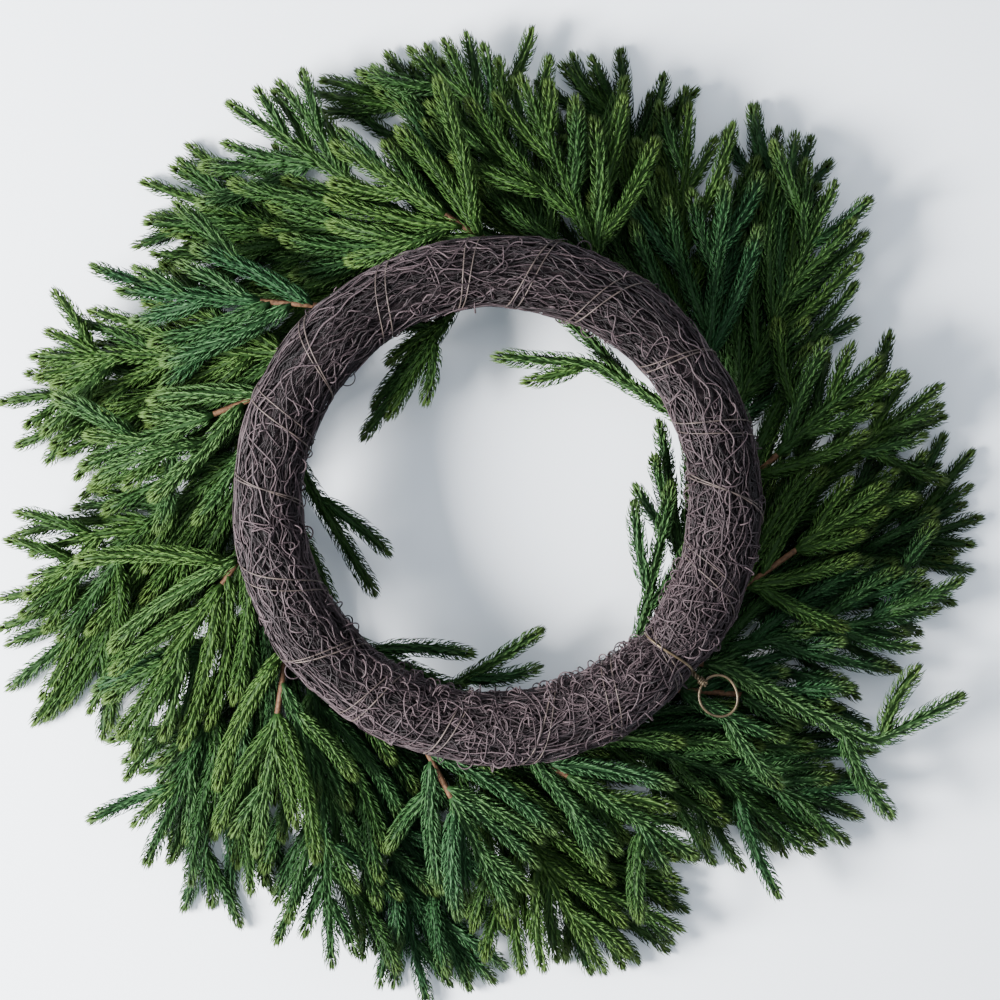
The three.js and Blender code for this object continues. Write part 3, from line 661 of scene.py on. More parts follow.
def lay_spray(name, stem, clad_index, fingers, height_at):
    """Lays one spray: ceilings, slopes and forks. Its points are then there for those that follow."""
    global laid
    last = len(stem["xy"]) - 1
    give_reach(stem, clad_index)
    place = np.arange(last + 1)
    stem = give_ceilings(stem, height_at(np.maximum(0, place - clad_index) / (last - clad_index)), True)
    kept = []
    for finger in fingers:
        fork = finger["fork"]
        others = np.vstack([stem["xy"], *[other["strand"]["xy"] for other in kept]])
        strand = keep_clear_of_own(finger["strand"], others)
        if len(strand["xy"]) < SHORTEST_FINGER or fork > len(stem["xy"]) - SHORTEST_FINGER:
            continue
        give_reach(strand, 0)
        i = np.arange(len(strand["xy"]))
        share = np.minimum(1, (fork + i - clad_index) / (last - clad_index))
        strand = give_ceilings(strand, height_at(share) + finger["rise"] * smoothstep(i / FULL_RISE), False)
        if len(strand["xy"]) >= SHORTEST_FINGER:
            kept.append({"strand": strand, "fork": fork, "side": finger["side"]})
    for finger in kept:
        fork = finger["fork"]
        stem["ceiling"][fork] = min(stem["ceiling"][fork], ease_under(finger["strand"])[0])
    stem["z"] = ease_under(stem)
    for finger in kept:
        strand = finger["strand"]
        most = stem["z"][finger["fork"]] + STEEPEST * STEP * np.arange(len(strand["xy"]))
        strand["z"] = np.minimum(ease_under(strand), most)
    strands = [stem, *[finger["strand"] for finger in kept]]
    laid = np.vstack([laid, *[np.column_stack([s["xy"], s["z"], s["reach"]]) for s in strands]])
    taken = {(0, finger["fork"], finger["side"]) for finger in kept}
    return {"name": name, "clad_index": clad_index, "strands": strands, "taken": taken}


# %% [markdown]
# ### All 44 sprays, in the order of the maker's work
#
# The stray spray lies on top, then come the back course, the sprays of the hole, the middle course and the
# front course, which ends up against the surface. Comparing each spray's box with that of its plain solid
# shows that the fine sprays lie where they should.

# %% Lay the sprays
WANTED_SLOTS = [-9, 3, -3, 9]
INNER_SLOT, STRAY_SLOT = -12, 6
LONGEST_STEM = 42
OUTLINE_POINT = 30
LISTED_CLAD_INDEX = 8


def outer_spray(course, place, index):
    """An outer spray of a course. Its draws of spread come in a fixed order."""
    course_reach, near_height, tip_height, course_lean, clad_from = COURSES[course]
    angle = (place + spread(VARY["place"])) / OUTER_SPRAYS * 2 * np.pi
    heading = angle + np.radians(course_lean + spread(VARY["lean"]))
    whole = stem_with_foot(angle, WANTED_SLOTS[index % len(WANTED_SLOTS)], heading, 0, LONGEST_STEM)
    x, y = whole["xy"][OUTLINE_POINT]
    outline = OUTLINE_RADIUS + OUTLINE_OFFSET * np.cos(np.arctan2(y, x) - OUTLINE_OFFSET_ANGLE)
    reach = outline * (course_reach + spread(VARY["reach"]))
    stem = cut_at_reach(whole, reach)
    last = len(stem["xy"]) - 1
    edge = int(np.argmax(np.hypot(*stem["xy"].T) >= clad_from))
    clad_index = max(FOOT_POINTS + 1, 2 * (edge // 2))
    fingers = []
    fork = clad_index + 1
    while fork <= last - SHORTEST_FINGER:
        side = 1 if len(fingers) % 2 else -1
        wanted = (last - fork) * (FINGER_SHARE + spread(VARY["share"]))
        steps = 2 * int(np.floor(np.clip(wanted, *FINGER_STEPS) / 2 + 0.5)) + 1
        spread_angle = np.radians(FORK_SPREAD + spread(VARY["fork"]))
        strand = cut_at_reach(finger_from(stem, fork, side, spread_angle, steps), reach)
        fingers.append({"strand": strand, "fork": fork, "side": side, "rise": spread(VARY["rise"])})
        fork += FORK_SPACING[(len(fingers) + index) % len(FORK_SPACING)]
    lift = spread(VARY["lift"])
    return lay_spray(
        f"spray_{course}_{index + 1:02d}",
        stem,
        clad_index,
        fingers,
        lambda share: near_height + lift + (tip_height - near_height) * share**FALL_POWER,
    )


def listed_spray(name, row, slot, lean_from):
    """A spray with a row of its own. An inner one leans from the inward line, the stray from the outward."""
    angle, lean, steps, tip_height, bend, rows = row
    angle = np.radians(angle)
    heading = angle + np.radians(lean_from + (-lean if lean_from else lean))
    stem = stem_with_foot(angle, slot, heading, np.radians(bend), steps)
    fingers = []
    for fork, side, degrees, count in rows:
        strand = finger_from(stem, fork, side, np.radians(degrees), count)
        fingers.append({"strand": strand, "fork": fork, "side": side, "rise": 0.0})
    return lay_spray(
        name,
        stem,
        LISTED_CLAD_INDEX,
        fingers,
        lambda share: LISTED_NEAR_HEIGHT + (tip_height - LISTED_NEAR_HEIGHT) * share,
    )


def outer_course(number):
    """Every third place round the ring, from this course's own."""
    course = list(COURSES)[number]
    places = range(number, OUTER_SPRAYS, len(COURSES))
    return [outer_spray(course, place, i) for i, place in enumerate(places)]


sprays = [listed_spray("spray_stray", STRAY_SPRAY, STRAY_SLOT, 0)]
sprays += outer_course(0)
for i, row in enumerate(INNER_SPRAYS):
    sprays.append(listed_spray(f"spray_inner_{i + 1:02d}", row, INNER_SLOT, 180))
sprays += outer_course(1)
sprays += outer_course(2)

worst = 0.0
for spray in sprays:
    points = np.vstack([strand["xy"] for strand in spray["strands"]]) + RING_CENTRE[:2]
    corners = np.array(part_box(spray["name"])[:2])[:, :2] / MM
    worst = max(worst, np.abs([points.min(axis=0), points.max(axis=0)] - corners).max())
print(len(sprays), "sprays,", sum(len(spray["strands"]) for spray in sprays), "strands")
print("their boxes differ from the solids' by up to", round(worst, 1), "mm")


# %% [markdown]
# ## More fingers
#
# The plain sprays have few fingers, so that they stay light. The real wreath has far more, and the floor
# hardly shows between them. Each spray in turn gets another finger, on its stem or forking off a finger,
# and that several times over, most often in the front course, which has to fill the gaps that the others
# leave. A few random ones are tried, and the one that lies furthest from all that is there wins, which is
# called best-candidate sampling. Most of them end inside the outline, so that single tips stand out of it.

# %% Extra fingers
EXTRA_ROUNDS = {"back": 4, "middle": 12, "front": 28, "inner": 1, "stray": 0}
EMPTY_ENOUGH = {"back": 7.5, "middle": 5.0, "front": 3.2, "inner": 5.0}  # or a finger isn't added
SEEN_BY = {"back": ["back"], "middle": ["back", "middle"], "inner": ["inner"]}  # the front sees all
EXTRA_REACH = {"back": (0.84, 1.14), "middle": (0.74, 1.03), "front": (0.68, 1.0), "inner": (1, 1)}
INNER_REACH = 200.0  # which no inner finger gets to
FEW_REACH_OUT = 2.2  # a power: the higher it is, the fewer of the new fingers get near the outline
STEM_SHARE = 0.6  # of the new fingers, which grow on a stem; the others grow on a finger
EXTRA_LENGTH = (0.8, 1.4)  # of what is left of the parent strand
EXTRA_STEPS = (8, 14)
EXTRA_SPREAD = (15, 45)  # degrees
EXTRA_RISE = (-10, 8)  # how far a new finger rises from its parent
LEAST_POINTS = 5
TRIES = 26
FARTHEST = 11.0  # beyond this an empty place counts no more
HOLE_BOX = np.array([[-68.0, -77.0], [94.0, 79.0]])  # stays open, in the model's own coordinates
rng = np.random.default_rng(7)


def try_finger(spray):
    """A random finger of a spray: on its stem or on another finger, at any fork and side."""
    number = 0 if rng.uniform() < STEM_SHARE else int(rng.integers(0, spray["plain_count"]))
    parent = spray["strands"][number]
    last = len(parent["xy"]) - 1
    first = spray["clad_index"] if number == 0 else 1
    fork = int(rng.integers(first, max(first + 1, last - LEAST_POINTS)))
    side = int(rng.choice([-1, 1]))
    steps = int(np.clip((last - fork) * rng.uniform(*EXTRA_LENGTH), *EXTRA_STEPS))
    strand = finger_from(parent, fork, side, np.radians(rng.uniform(*EXTRA_SPREAD)), steps)
    least, most = EXTRA_REACH[spray["kind"]]
    reach = spray["reach"] * (least + (most - least) * rng.uniform() ** FEW_REACH_OUT)
    outside = np.hypot(*strand["xy"].T) > reach
    outside[:LEAST_POINTS] = False
    strand = shorten(strand, int(np.argmax(outside))) if outside.any() else strand
    return strand, number, fork, side


def emptiness(strand, around):
    """How empty it is where a finger would lie: the mean over its outer points of the distance to the
    nearest strand of the courses that it must keep clear of, up to a limit. A very short finger is out,
    and so is one over the hole."""
    xy = strand["xy"][2:]
    model_xy = xy + RING_CENTRE[:2]
    in_hole = ((model_xy > HOLE_BOX[0]) & (model_xy < HOLE_BOX[1])).all(axis=1).any()
    if in_hole or len(xy) < LEAST_POINTS:
        return -1.0
    apart = np.sqrt(((xy[:, None] - around) ** 2).sum(-1)).min(axis=1)
    return float(np.minimum(apart, FARTHEST).mean())


def add_finger(spray):
    """Adds the emptiest of a few tries to a spray. It follows its parent's heights, and comes to lie a few
    millimetres above or below them."""
    tries = [try_finger(spray) for _ in range(TRIES)]
    tries = [one for one in tries if one[1:] not in spray["taken"]]
    seen = SEEN_BY.get(spray["kind"], list(EXTRA_ROUNDS))
    around = np.vstack([other["xy"] for near in sprays if near["kind"] in seen for other in near["strands"]])
    if not tries:
        return
    strand, number, fork, side = max(tries, key=lambda one: emptiness(one[0], around))
    if emptiness(strand, around) < EMPTY_ENOUGH[spray["kind"]]:
        return
    spray["taken"].add((number, fork, side))
    give_reach(strand, 0)
    rise = smoothstep(np.arange(len(strand["xy"])) / FULL_RISE)
    parent_z = spray["strands"][number]["z"]
    follow = np.minimum(fork + np.arange(len(rise)), len(parent_z) - 1)
    strand["z"] = parent_z[follow] + rng.uniform(*EXTRA_RISE) * rise
    strand["extra"] = True
    spray["strands"].append(strand)


for spray in sprays:
    spray["kind"], spray["plain_count"] = spray["name"].split("_")[1], len(spray["strands"])
    reach = max(np.hypot(*strand["xy"].T).max() for strand in spray["strands"])
    stem_reach = np.hypot(*spray["strands"][0]["xy"][-1])
    spray["reach"] = INNER_REACH if spray["kind"] == "inner" else min(reach, stem_reach + 4)
for number in range(max(EXTRA_ROUNDS.values())):
    for spray in sprays:
        if number < EXTRA_ROUNDS[spray["kind"]]:
            add_finger(spray)
extra = [strand for spray in sprays for strand in spray["strands"] if "extra" in strand]
print("extra fingers:", len(extra), "of", round(sum(len(s["xy"]) for s in extra) * STEP / 1000, 1), "m")

# %% [markdown]
# ### Settling them
#
# The extra fingers still run through others. They settle by small steps: wherever two strands are closer
# than their needles allow, the extra one moves up or down, whichever is nearer, and then its heights are
# smoothed. After some rounds of that they lie between and on the others, as loose foliage does.

# %% Settle the extra fingers
SETTLING_ROUNDS = 40
SETTLED_ROOM = 12.0  # between the middles of two settled strands
HIGHEST = 78.0

strands = [strand for spray in sprays for strand in spray["strands"]]
sizes = np.array([len(strand["xy"]) for strand in strands])
ends = np.cumsum(sizes)
starts = ends - sizes
xy = np.vstack([strand["xy"] for strand in strands])
z = np.concatenate([strand["z"] for strand in strands])
owner = np.repeat(np.arange(len(strands)), sizes)
order = np.arange(len(xy)) - starts[owner]
loose = np.repeat(["extra" in strand for strand in strands], sizes) & (order > 1)
moving = np.flatnonzero(loose)
gap_squared = ((xy[moving][:, None] - xy) ** 2).sum(-1)
near_i, near_j = np.nonzero(gap_squared < SETTLED_ROOM**2)
room = np.sqrt(SETTLED_ROOM**2 - gap_squared[near_i, near_j])
near_i = moving[near_i]
keep = owner[near_i] != owner[near_j]
near_i, near_j, room = near_i[keep], near_j[keep], room[keep]
lowest = np.full(len(z), NEEDLE_REACH - PRESSED)
highest = np.minimum(ring_ceiling(xy, np.full(len(xy), NEEDLE_REACH)), HIGHEST)
first_side = np.where(z[near_i] - z[near_j] >= 0, 1.0, -1.0)
inner = moving[order[moving] < sizes[owner[moving]] - 1]
for _ in range(SETTLING_ROUNDS):
    apart = (z[near_i] - z[near_j]) * first_side
    push = np.maximum(room - apart, 0) * first_side
    total, count = np.zeros(len(z)), np.zeros(len(z))
    np.add.at(total, near_i, push)
    np.add.at(count, near_i, push != 0)
    z[moving] += 0.5 * total[moving] / np.maximum(count[moving], 1)
    z[inner] = 0.5 * z[inner] + 0.25 * (z[inner - 1] + z[inner + 1])
    z[moving] = np.clip(z[moving], lowest[moving], np.maximum(highest[moving], lowest[moving]))
for strand, start, end in zip(strands, starts, ends):
    strand["z"] = z[start:end]
left_over = np.maximum(room - np.abs(z[near_i] - z[near_j]), 0)
print("strands:", len(strands), "mean overlap left:", round(float(left_over.mean()), 2), "mm")

# %% [markdown]
# ## Needles
#
# A needle here is a spindle of six triangles: a root, a three-cornered middle with its ridge outwards,
# and a point. Needles sit all round a twig, each turned by the same odd angle from the one before, so
# that they never line up. A needle leaves the twig steeply and then bends forwards, so a finger looks
# plump, and narrows only near its tip. Thirty to forty of them grow on every centimetre.

# %% One strand's needles
NEEDLES_PER_MM = {"back": 4.2, "middle": 3.9, "front": 3.1, "inner": 4.2, "stray": 4.2}
END_NEEDLES = 16  # more of them, at the very end
NEEDLE_AHEAD = 8.6  # how far a needle's point is ahead of its root
AHEAD_VARY = (0.85, 1.15)
NEEDLE_OUT = 6.8  # and how far out from the middle of the twig
ROOT_OUT = 0.8  # the same for its root
MIDDLE_AHEAD, MIDDLE_OUT = 0.55, 0.81  # its middle's shares of both, so it bulges outwards
MIDDLE_LIFT = 0.15
NEEDLE_WIDTH, NEEDLE_RIDGE = 1.25, 0.6
NEEDLE_TURN, TURN_VARY = np.radians(135.3), 0.1
NEEDLE_SWAY = 0.25
INNER_SHARE = 0.3  # of the needles, which are short and fill the finger from within
SHORT_OUT, FULL_OUT = (0.5, 0.85), (0.95, 1.03)  # how far out short and full needles get
FOOT_OUT, FOOT_LENGTH = 0.75, 30.0  # at a strand's foot they get less far, and gain by place over length
TIP_CLOSING, TIP_LENGTH, TIP_POWER = 0.42, 11.0, 1.4  # how they close up over the last millimetres
END_OUT = (0.05, 0.8)  # the shares of the needles at the very end
YOUNG_LENGTH = 22.0  # of the young end
PAINTED_LIGHT_FROM_ABOVE = 0.2  # painted light and shade: how much lighter the needles on top of a twig are, and darker those below
DEPTH_PAINTED_SHADE = 0.25  # painted shade: how much darker the needles near the surface are
SHADE_VARY = 0.1
SPINDLE = np.array([(3, 1, 4), (1, 2, 4), (2, 3, 4), (1, 3, 0), (2, 1, 0), (3, 2, 0)])
SPINDLE_TIPS = [0, 0.62, 0.62, 0.85, 1.0]  # the tip value at a needle's five points


def strand_line(strand, first):
    """A strand's middle line from a point on, as a smooth path with two points for every step."""
    points = np.column_stack([strand["xy"], strand["z"]])[first:]
    return smooth_path(points, 2 * len(points) - 1)


def along_line(line, distances):
    """The points and the forward, side and top directions of a path at distances along it."""
    reached = np.concatenate([[0], np.cumsum(np.linalg.norm(np.diff(line, axis=0), axis=1))])

    def take(values):
        return np.stack([np.interp(distances, reached, values[:, k]) for k in range(3)], -1)

    forward, side, top = (unit(take(directions[0])) for directions in frames_along(line[None]))
    return take(line), forward, side, top


def grow_needles(line, shade, hue, per_mm, plump):
    """The needles of one strand. Needle k starts k steps along the twig, turned k times the same angle
    about it. Its middle is out by most of its reach but only part of the way forwards, and its point is
    out by all of it. Near the strand's end the needles close up round a blunt tip."""
    length = np.linalg.norm(np.diff(line, axis=0), axis=1).sum()
    count = int(length * per_mm) + END_NEEDLES
    place = np.clip((np.arange(count) + rng.uniform(-0.5, 0.5, count)) / per_mm, 0, length)
    at, forward, side, top = along_line(line, place)
    left = length - place
    turn = NEEDLE_TURN * np.arange(count) + rng.normal(0, TURN_VARY, count)
    out = side * np.cos(turn)[:, None] + top * np.sin(turn)[:, None]
    across = np.cross(forward, out)
    is_inner = rng.uniform(0, 1, count) < INNER_SHARE
    share = np.where(is_inner, rng.uniform(*SHORT_OUT, count), rng.uniform(*FULL_OUT, count))
    reach = plump * NEEDLE_OUT * share * np.clip(FOOT_OUT + place / FOOT_LENGTH, 0, 1)
    reach = reach * (1 - TIP_CLOSING * np.clip(1 - left / TIP_LENGTH, 0, 1) ** TIP_POWER)
    reach[-END_NEEDLES:] *= rng.uniform(*END_OUT, END_NEEDLES)
    ahead = NEEDLE_AHEAD * rng.uniform(*AHEAD_VARY, count)
    sway = rng.normal(0, NEEDLE_SWAY, count)
    root = at + out * ROOT_OUT
    bulge = MIDDLE_LIFT + MIDDLE_OUT * reach
    middle = at + forward * (MIDDLE_AHEAD * ahead)[:, None] + out * bulge[:, None]
    point = at + forward * ahead[:, None] + out * reach[:, None] + across * sway[:, None]
    flat = unit(np.cross(point - root, out)) * NEEDLE_WIDTH / 2
    ridge = unit(np.cross(flat, point - root)) * NEEDLE_RIDGE
    points = np.stack([root, middle + flat, middle - flat, middle + ridge, point], axis=1)
    # Painted shade near the surface, painted light on top of each twig and painted shade under it, then a
    # random spread.
    deep = DEPTH_PAINTED_SHADE * np.clip(1 - at[:, 2] / FOLIAGE_DEPTH, 0, 1)
    own = np.clip(shade - deep + PAINTED_LIGHT_FROM_ABOVE * out[:, 2] + rng.normal(0, SHADE_VARY, count), 0, 1)
    values = {
        "shade": np.repeat(own, 5),
        "hue": np.full(count * 5, hue),
        "age": np.repeat(np.clip(1 - left / YOUNG_LENGTH, 0, 1), 5),
        "tip": np.tile(SPINDLE_TIPS, count),
        "bark": np.zeros(count * 5),
    }
    faces = (SPINDLE + np.arange(count)[:, None, None] * 5).reshape(-1, 3)
    return points.reshape(-1, 3), faces, values


def signed_volume(points, triangles):
    """The sum over all triangles of a sixth of the triple product of their corners: above 0 where they
    face outwards."""
    a, b, c = (points[triangles[:, k]] for k in range(3))
    return float((a * np.cross(b, c)).sum() / 6)


test_points, test_faces, _ = grow_needles(strand_line(strands[0], 0), 0.5, 0.5, 4.0, 1.0)
test_volume = signed_volume(test_points, test_faces)
print("needles on a test strand:", len(test_faces) // 6, "volume:", round(test_volume), "mm3")

# %% [markdown]
# ### Dressing the sprays
#
# Each spray becomes one mesh: a green twig in every finger, brown bark on the bare foot of the stem, and
# all its needles. Most stems of the back course stay bare for a few steps more. The plain fingers end a
# little sooner, each by its own length. Needles that would go into the floor are laid flat on it.
#
# The colours follow the photograph: the sprays on the right are darker, and those at the bottom are
# lighter and bluer.

# %% Dress every spray
TWIG_START, TWIG_END = 4.2, 2.6  # radii of the green twig
BARK_RADIUS = 2.1
TWIG_SIDES = 5
# Painted shade: the sprays whose stems end on the right, away from the lamp, are made darker.
SPRAY_SHADES, EAST_PAINTED_SHADE, LOW_SHADE = (0.36, 0.6), -0.08, 0.08
SPRAY_HUE, HUE_VARY, LOW_HUE = 0.27, 0.27, 0.45
INNER_SHADE, INNER_HUE, INNER_EAST_LIGHT_AND_HUE = 0.55, 0.42, 0.25  # the last is added to both on the right: painted light on the inner sprays there, which face the lamp, and a bluer hue
STRAY_SHADE, STRAY_HUE, STRAY_PLUMP = 0.66, 0.35, 1.22  # the stray spray is young, light and plump
FINGER_HUE_VARY, FINGER_SHADE_VARY, PLUMPNESS = 0.2, 0.2, (0.92, 1.08)
BARE_SHARE, BARE_STEPS = 0.8, (4, 8)  # of the back sprays, and how many steps more are bare
MOST_CUT, SHORTEST_LINE = 7, 12  # points of a plain finger's line that are cut off, and that stay
FLOOR_GAP, PRESSED_SHARE = 0.2, 0.02  # above the floor, and what is left of a depth below it
NO_QUADS = np.empty((0, 4))


def join(parts):
    """Many lots of points, quads, triangles and values as one, each lot's numbering moved on."""
    moved = np.cumsum([0] + [len(part[0]) for part in parts[:-1]])
    points = np.vstack([part[0] for part in parts])
    quads = np.vstack([np.reshape(part[1], (-1, 4)) + shift for part, shift in zip(parts, moved)])
    triangles = np.vstack([part[2] + shift for part, shift in zip(parts, moved)])
    values = {key: np.concatenate([part[3][key] for part in parts]) for key in parts[0][3]}
    return points, quads.astype(int), triangles, values


def twig(line, start, end, bark, hue):
    """A tapered tube on a line, all bark or all green. A green one starts as thin as the bark."""
    radii = np.linspace(start, end, len(line))
    if not bark:
        radii[0] = BARK_RADIUS
    points, quads, fans = tubes(line[None], radii, TWIG_SIDES)
    # A tip value of 0.6 gives the green twig a little of the needles' painted root shade.
    numbers = {"shade": 0.3, "hue": hue, "age": 0, "tip": 0.6, "bark": bark}
    return points, quads, fans, {key: np.full(len(points), float(value)) for key, value in numbers.items()}


def dress_finger(line, shade, hue, per_mm, plump):
    """The needles on a line, and the green twig in them."""
    points, faces, values = grow_needles(line, shade, hue, per_mm, plump)
    return [(points, NO_QUADS, faces, values), twig(line[::2], TWIG_START, TWIG_END, 0, hue)]


def needle_piece(name, node, parts):
    """The parts as one piece that takes a plain spray's place. Gives its number of triangles."""
    points, quads, triangles, values = join(parts)
    pressed = FLOOR_GAP + PRESSED_SHARE * points[:, 2]
    points[:, 2] = np.where(points[:, 2] < FLOOR_GAP, pressed, points[:, 2])
    put_on(make_piece(name, points, quads, triangles, needle_material, values), node)
    return 2 * len(quads) + len(triangles)


def spray_look(spray):
    """A spray's own shade and hue, from the direction that its stem's end lies in, and how many steps more
    of its stem are bare. The direction paints shade on the sprays to the right and light on the inner ones
    there."""
    east, north = (float(part) for part in unit(spray["strands"][0]["xy"][-1]))
    low = max(0.0, -north)
    shade = rng.uniform(*SPRAY_SHADES) + EAST_PAINTED_SHADE * east + LOW_SHADE * low
    hue = np.clip(rng.normal(SPRAY_HUE + LOW_HUE * low, HUE_VARY), 0, 1)
    is_bare = spray["kind"] == "back" and rng.uniform() < BARE_SHARE
    later = int(rng.integers(*BARE_STEPS)) if is_bare else 0
    if spray["kind"] == "stray":
        return STRAY_SHADE, STRAY_HUE, later
    if spray["kind"] == "inner":
        return INNER_SHADE + INNER_EAST_LIGHT_AND_HUE * east, INNER_HUE + INNER_EAST_LIGHT_AND_HUE * east, later
    return shade, hue, later


def dress_spray(spray):
    """A whole spray as one piece. Its draws of random numbers come in a fixed order."""
    shade, hue, later = spray_look(spray)
    parts = []
    for i, strand in enumerate(spray["strands"]):
        first = 0 if i else spray["clad_index"] + later
        if first:
            parts.append(twig(strand_line(strand, 0)[: 2 * first + 2], BARK_RADIUS, BARK_RADIUS, 1, 0))
        line = strand_line(strand, first)
        if i and "extra" not in strand:
            line = line[: max(SHORTEST_LINE, len(line) - int(rng.integers(0, MOST_CUT)))]
        own_hue = np.clip(hue + rng.normal(0, FINGER_HUE_VARY), 0, 1)
        own_shade = shade + rng.uniform(-FINGER_SHADE_VARY, FINGER_SHADE_VARY)
        plump = STRAY_PLUMP if spray["kind"] == "stray" else rng.uniform(*PLUMPNESS)
        parts += dress_finger(line, own_shade, own_hue, NEEDLES_PER_MM[spray["kind"]], plump)
    return needle_piece("dressed_" + spray["name"], spray["name"], parts)


counts = [dress_spray(spray) for spray in sprays]
print("sprays dressed:", len(counts), "triangles:", sum(counts), "largest:", max(counts))

# %% [markdown]
# ## The ring of vines
#
# A bought ring like this is a bundle of thin vines, wound round and round while they were green. Most run
# along the ring, some wander across it, and a few broken ends stick out as curls. Each vine here is a
# tube on a path. Its place round the bundle drifts slowly, by a sum of sines, as it goes along the ring.

# %% Long vines
LONG_VINES = {  # by piece: count, steps, depths, radii and shade
    # The deep vines' lower shade is painted shade too.
    "vines_deep": (200, 56, (2.6, 4.6), (0.6, 1.0), 0.55),
    "vines_outer_1": (520, 50, (0.0, 2.8), (0.38, 0.68), 0.78),
    "vines_outer_2": (520, 50, (0.0, 2.8), (0.38, 0.68), 0.78),
}
VINE_SIDES = 3
VINE_RUN = (80, 260)  # how far a vine goes along the ring
OWN_SHADE_VARY = 0.24
PAINTED_SHADE_INWARDS = 0.22  # painted shade: how much darker a vine gets for each millimetre of depth


def anywhere(count):
    """An angle from the whole circle for each path."""
    return rng.uniform(0, 2 * np.pi, (count, 1))


def runs(count, steps, lengths):
    """Ring angles along each path, from half its run before its middle to half after, either way round."""
    run = rng.uniform(*lengths, (count, 1)) / RING_RADIUS * rng.choice([-1, 1], (count, 1))
    return run * (np.linspace(0, 1, steps) - 0.5)


def waves(count, steps, size, rates):
    """A smooth random wandering for each path: sines of a few rates, each with a random phase and a
    random size that falls with the rate's root."""
    along = np.linspace(0, 1, steps)
    total = np.zeros((count, steps))
    for rate in rates:
        phase, strength = anywhere(count), rng.normal(0, size, (count, 1))
        total += strength / np.sqrt(rate) * np.sin(2 * np.pi * rate * along + phase)
    return total


def long_vines(count, steps, depths, radius):
    """Paths along the bundle. The ring angle grows evenly from a random start, and the angle round the
    bundle and the depth below its surface wander. Gives paths, radii and depths."""
    ring_angle = anywhere(count) + runs(count, steps, VINE_RUN) + waves(count, steps, 0.008, (3, 5))
    round_angle = anywhere(count) + waves(count, steps, 0.15, (0.5, 1, 2, 4, 7, 10))
    depth = np.maximum(rng.uniform(*depths, (count, 1)) + waves(count, steps, 0.7, (2, 5, 9)), -0.6)
    paths = bundle_point(ring_angle, round_angle, bundle_radius(ring_angle) - depth)
    radii = rng.uniform(*radius, (count, 1)) * (1 + waves(count, steps, 0.05, (4, 9)))
    taper = np.minimum(1, 0.3 + np.minimum(np.arange(steps), np.arange(steps)[::-1]) / 3)
    return paths, radii * taper, depth


def vine_piece(name, paths, radii, depth, sides, shade):
    """Tubes on all the paths as one piece. Each has a shade of its own, and gets darker with depth as
    painted shade.
    """
    own = rng.normal(shade, OWN_SHADE_VARY, (len(paths), 1))
    darker = np.clip(own - PAINTED_SHADE_INWARDS * depth, 0, 1)
    along = np.concatenate([np.repeat(darker, sides, axis=1), darker[:, [0, -1]]], axis=1)
    points, quads, fans = tubes(paths, radii, sides)
    piece = make_piece(name, points, quads, fans, vine_material, {"shade": along.ravel()})
    put_on(piece, "vine_ring")
    print(name, 2 * len(quads) + len(fans), "triangles")


for name, (count, steps, depths, radius, shade) in LONG_VINES.items():
    vine_piece(name, *long_vines(count, steps, depths, radius), VINE_SIDES, shade)

# %% [markdown]
# ### Tangled and broken vines
#
# At the bottom, and along the inner edge, the vines are curly tendrils rather than straight runs. They
# wander across the bundle, and here and there a broken one stands out in a small loop.

# %% Curls
CURLS, CURL_STEPS, CURL_SHADE = 700, 44, 0.8
LOOPS, LOOP_STEPS, LOOP_SHADE = 330, 26, 0.66
CURL_RUN = (15, 60)
CURLIEST_ANGLE, CURLY_SPREAD = np.radians(-70), 0.75
EVEN_SHARE = 0.3  # of the curls, which are anywhere on the ring
CURL_SIZE, LOOP_SIZE = (1, 4), (1.6, 5.6)
CURL_RADIUS, LOOP_RADIUS = (0.38, 0.66), 0.5
LOOP_TURN = 2.7  # to each side of a loop's highest point


def curl_places(count):
    """Ring angles of curls: more at the bottom, by a bell curve, and some anywhere."""
    low = rng.normal(CURLIEST_ANGLE, CURLY_SPREAD, (count, 1))
    return np.where(rng.uniform(0, 1, (count, 1)) < EVEN_SHARE, anywhere(count), low)


def tangle(count, steps):
    """Short paths that wind across the bundle: like the long vines', with larger and quicker waves in
    both angles, and a circle of a few millimetres gone round as they go, which makes them curl."""
    run = runs(count, steps, CURL_RUN)
    ring_angle = curl_places(count) + run + waves(count, steps, 0.036, (1, 2, 3))
    round_angle = anywhere(count) + waves(count, steps, 0.33, (0.5, 1, 2, 3))
    curl = anywhere(count) + np.linspace(0, 1, steps) * 2 * np.pi * rng.uniform(-2, 2, (count, 1))
    size = rng.uniform(*CURL_SIZE, (count, 1))
    ring_angle = ring_angle + size / RING_RADIUS * np.cos(curl)
    round_angle = round_angle + size / HALF_WIDTH * np.sin(curl)
    depth = np.maximum(rng.uniform(-0.4, 1.6, (count, 1)) + waves(count, steps, 0.8, (1, 2, 4)), -2)
    paths = bundle_point(ring_angle, round_angle, bundle_radius(ring_angle) - depth)
    return paths, rng.uniform(*CURL_RADIUS, (count, 1)) * np.linspace(1, 0.7, steps), depth


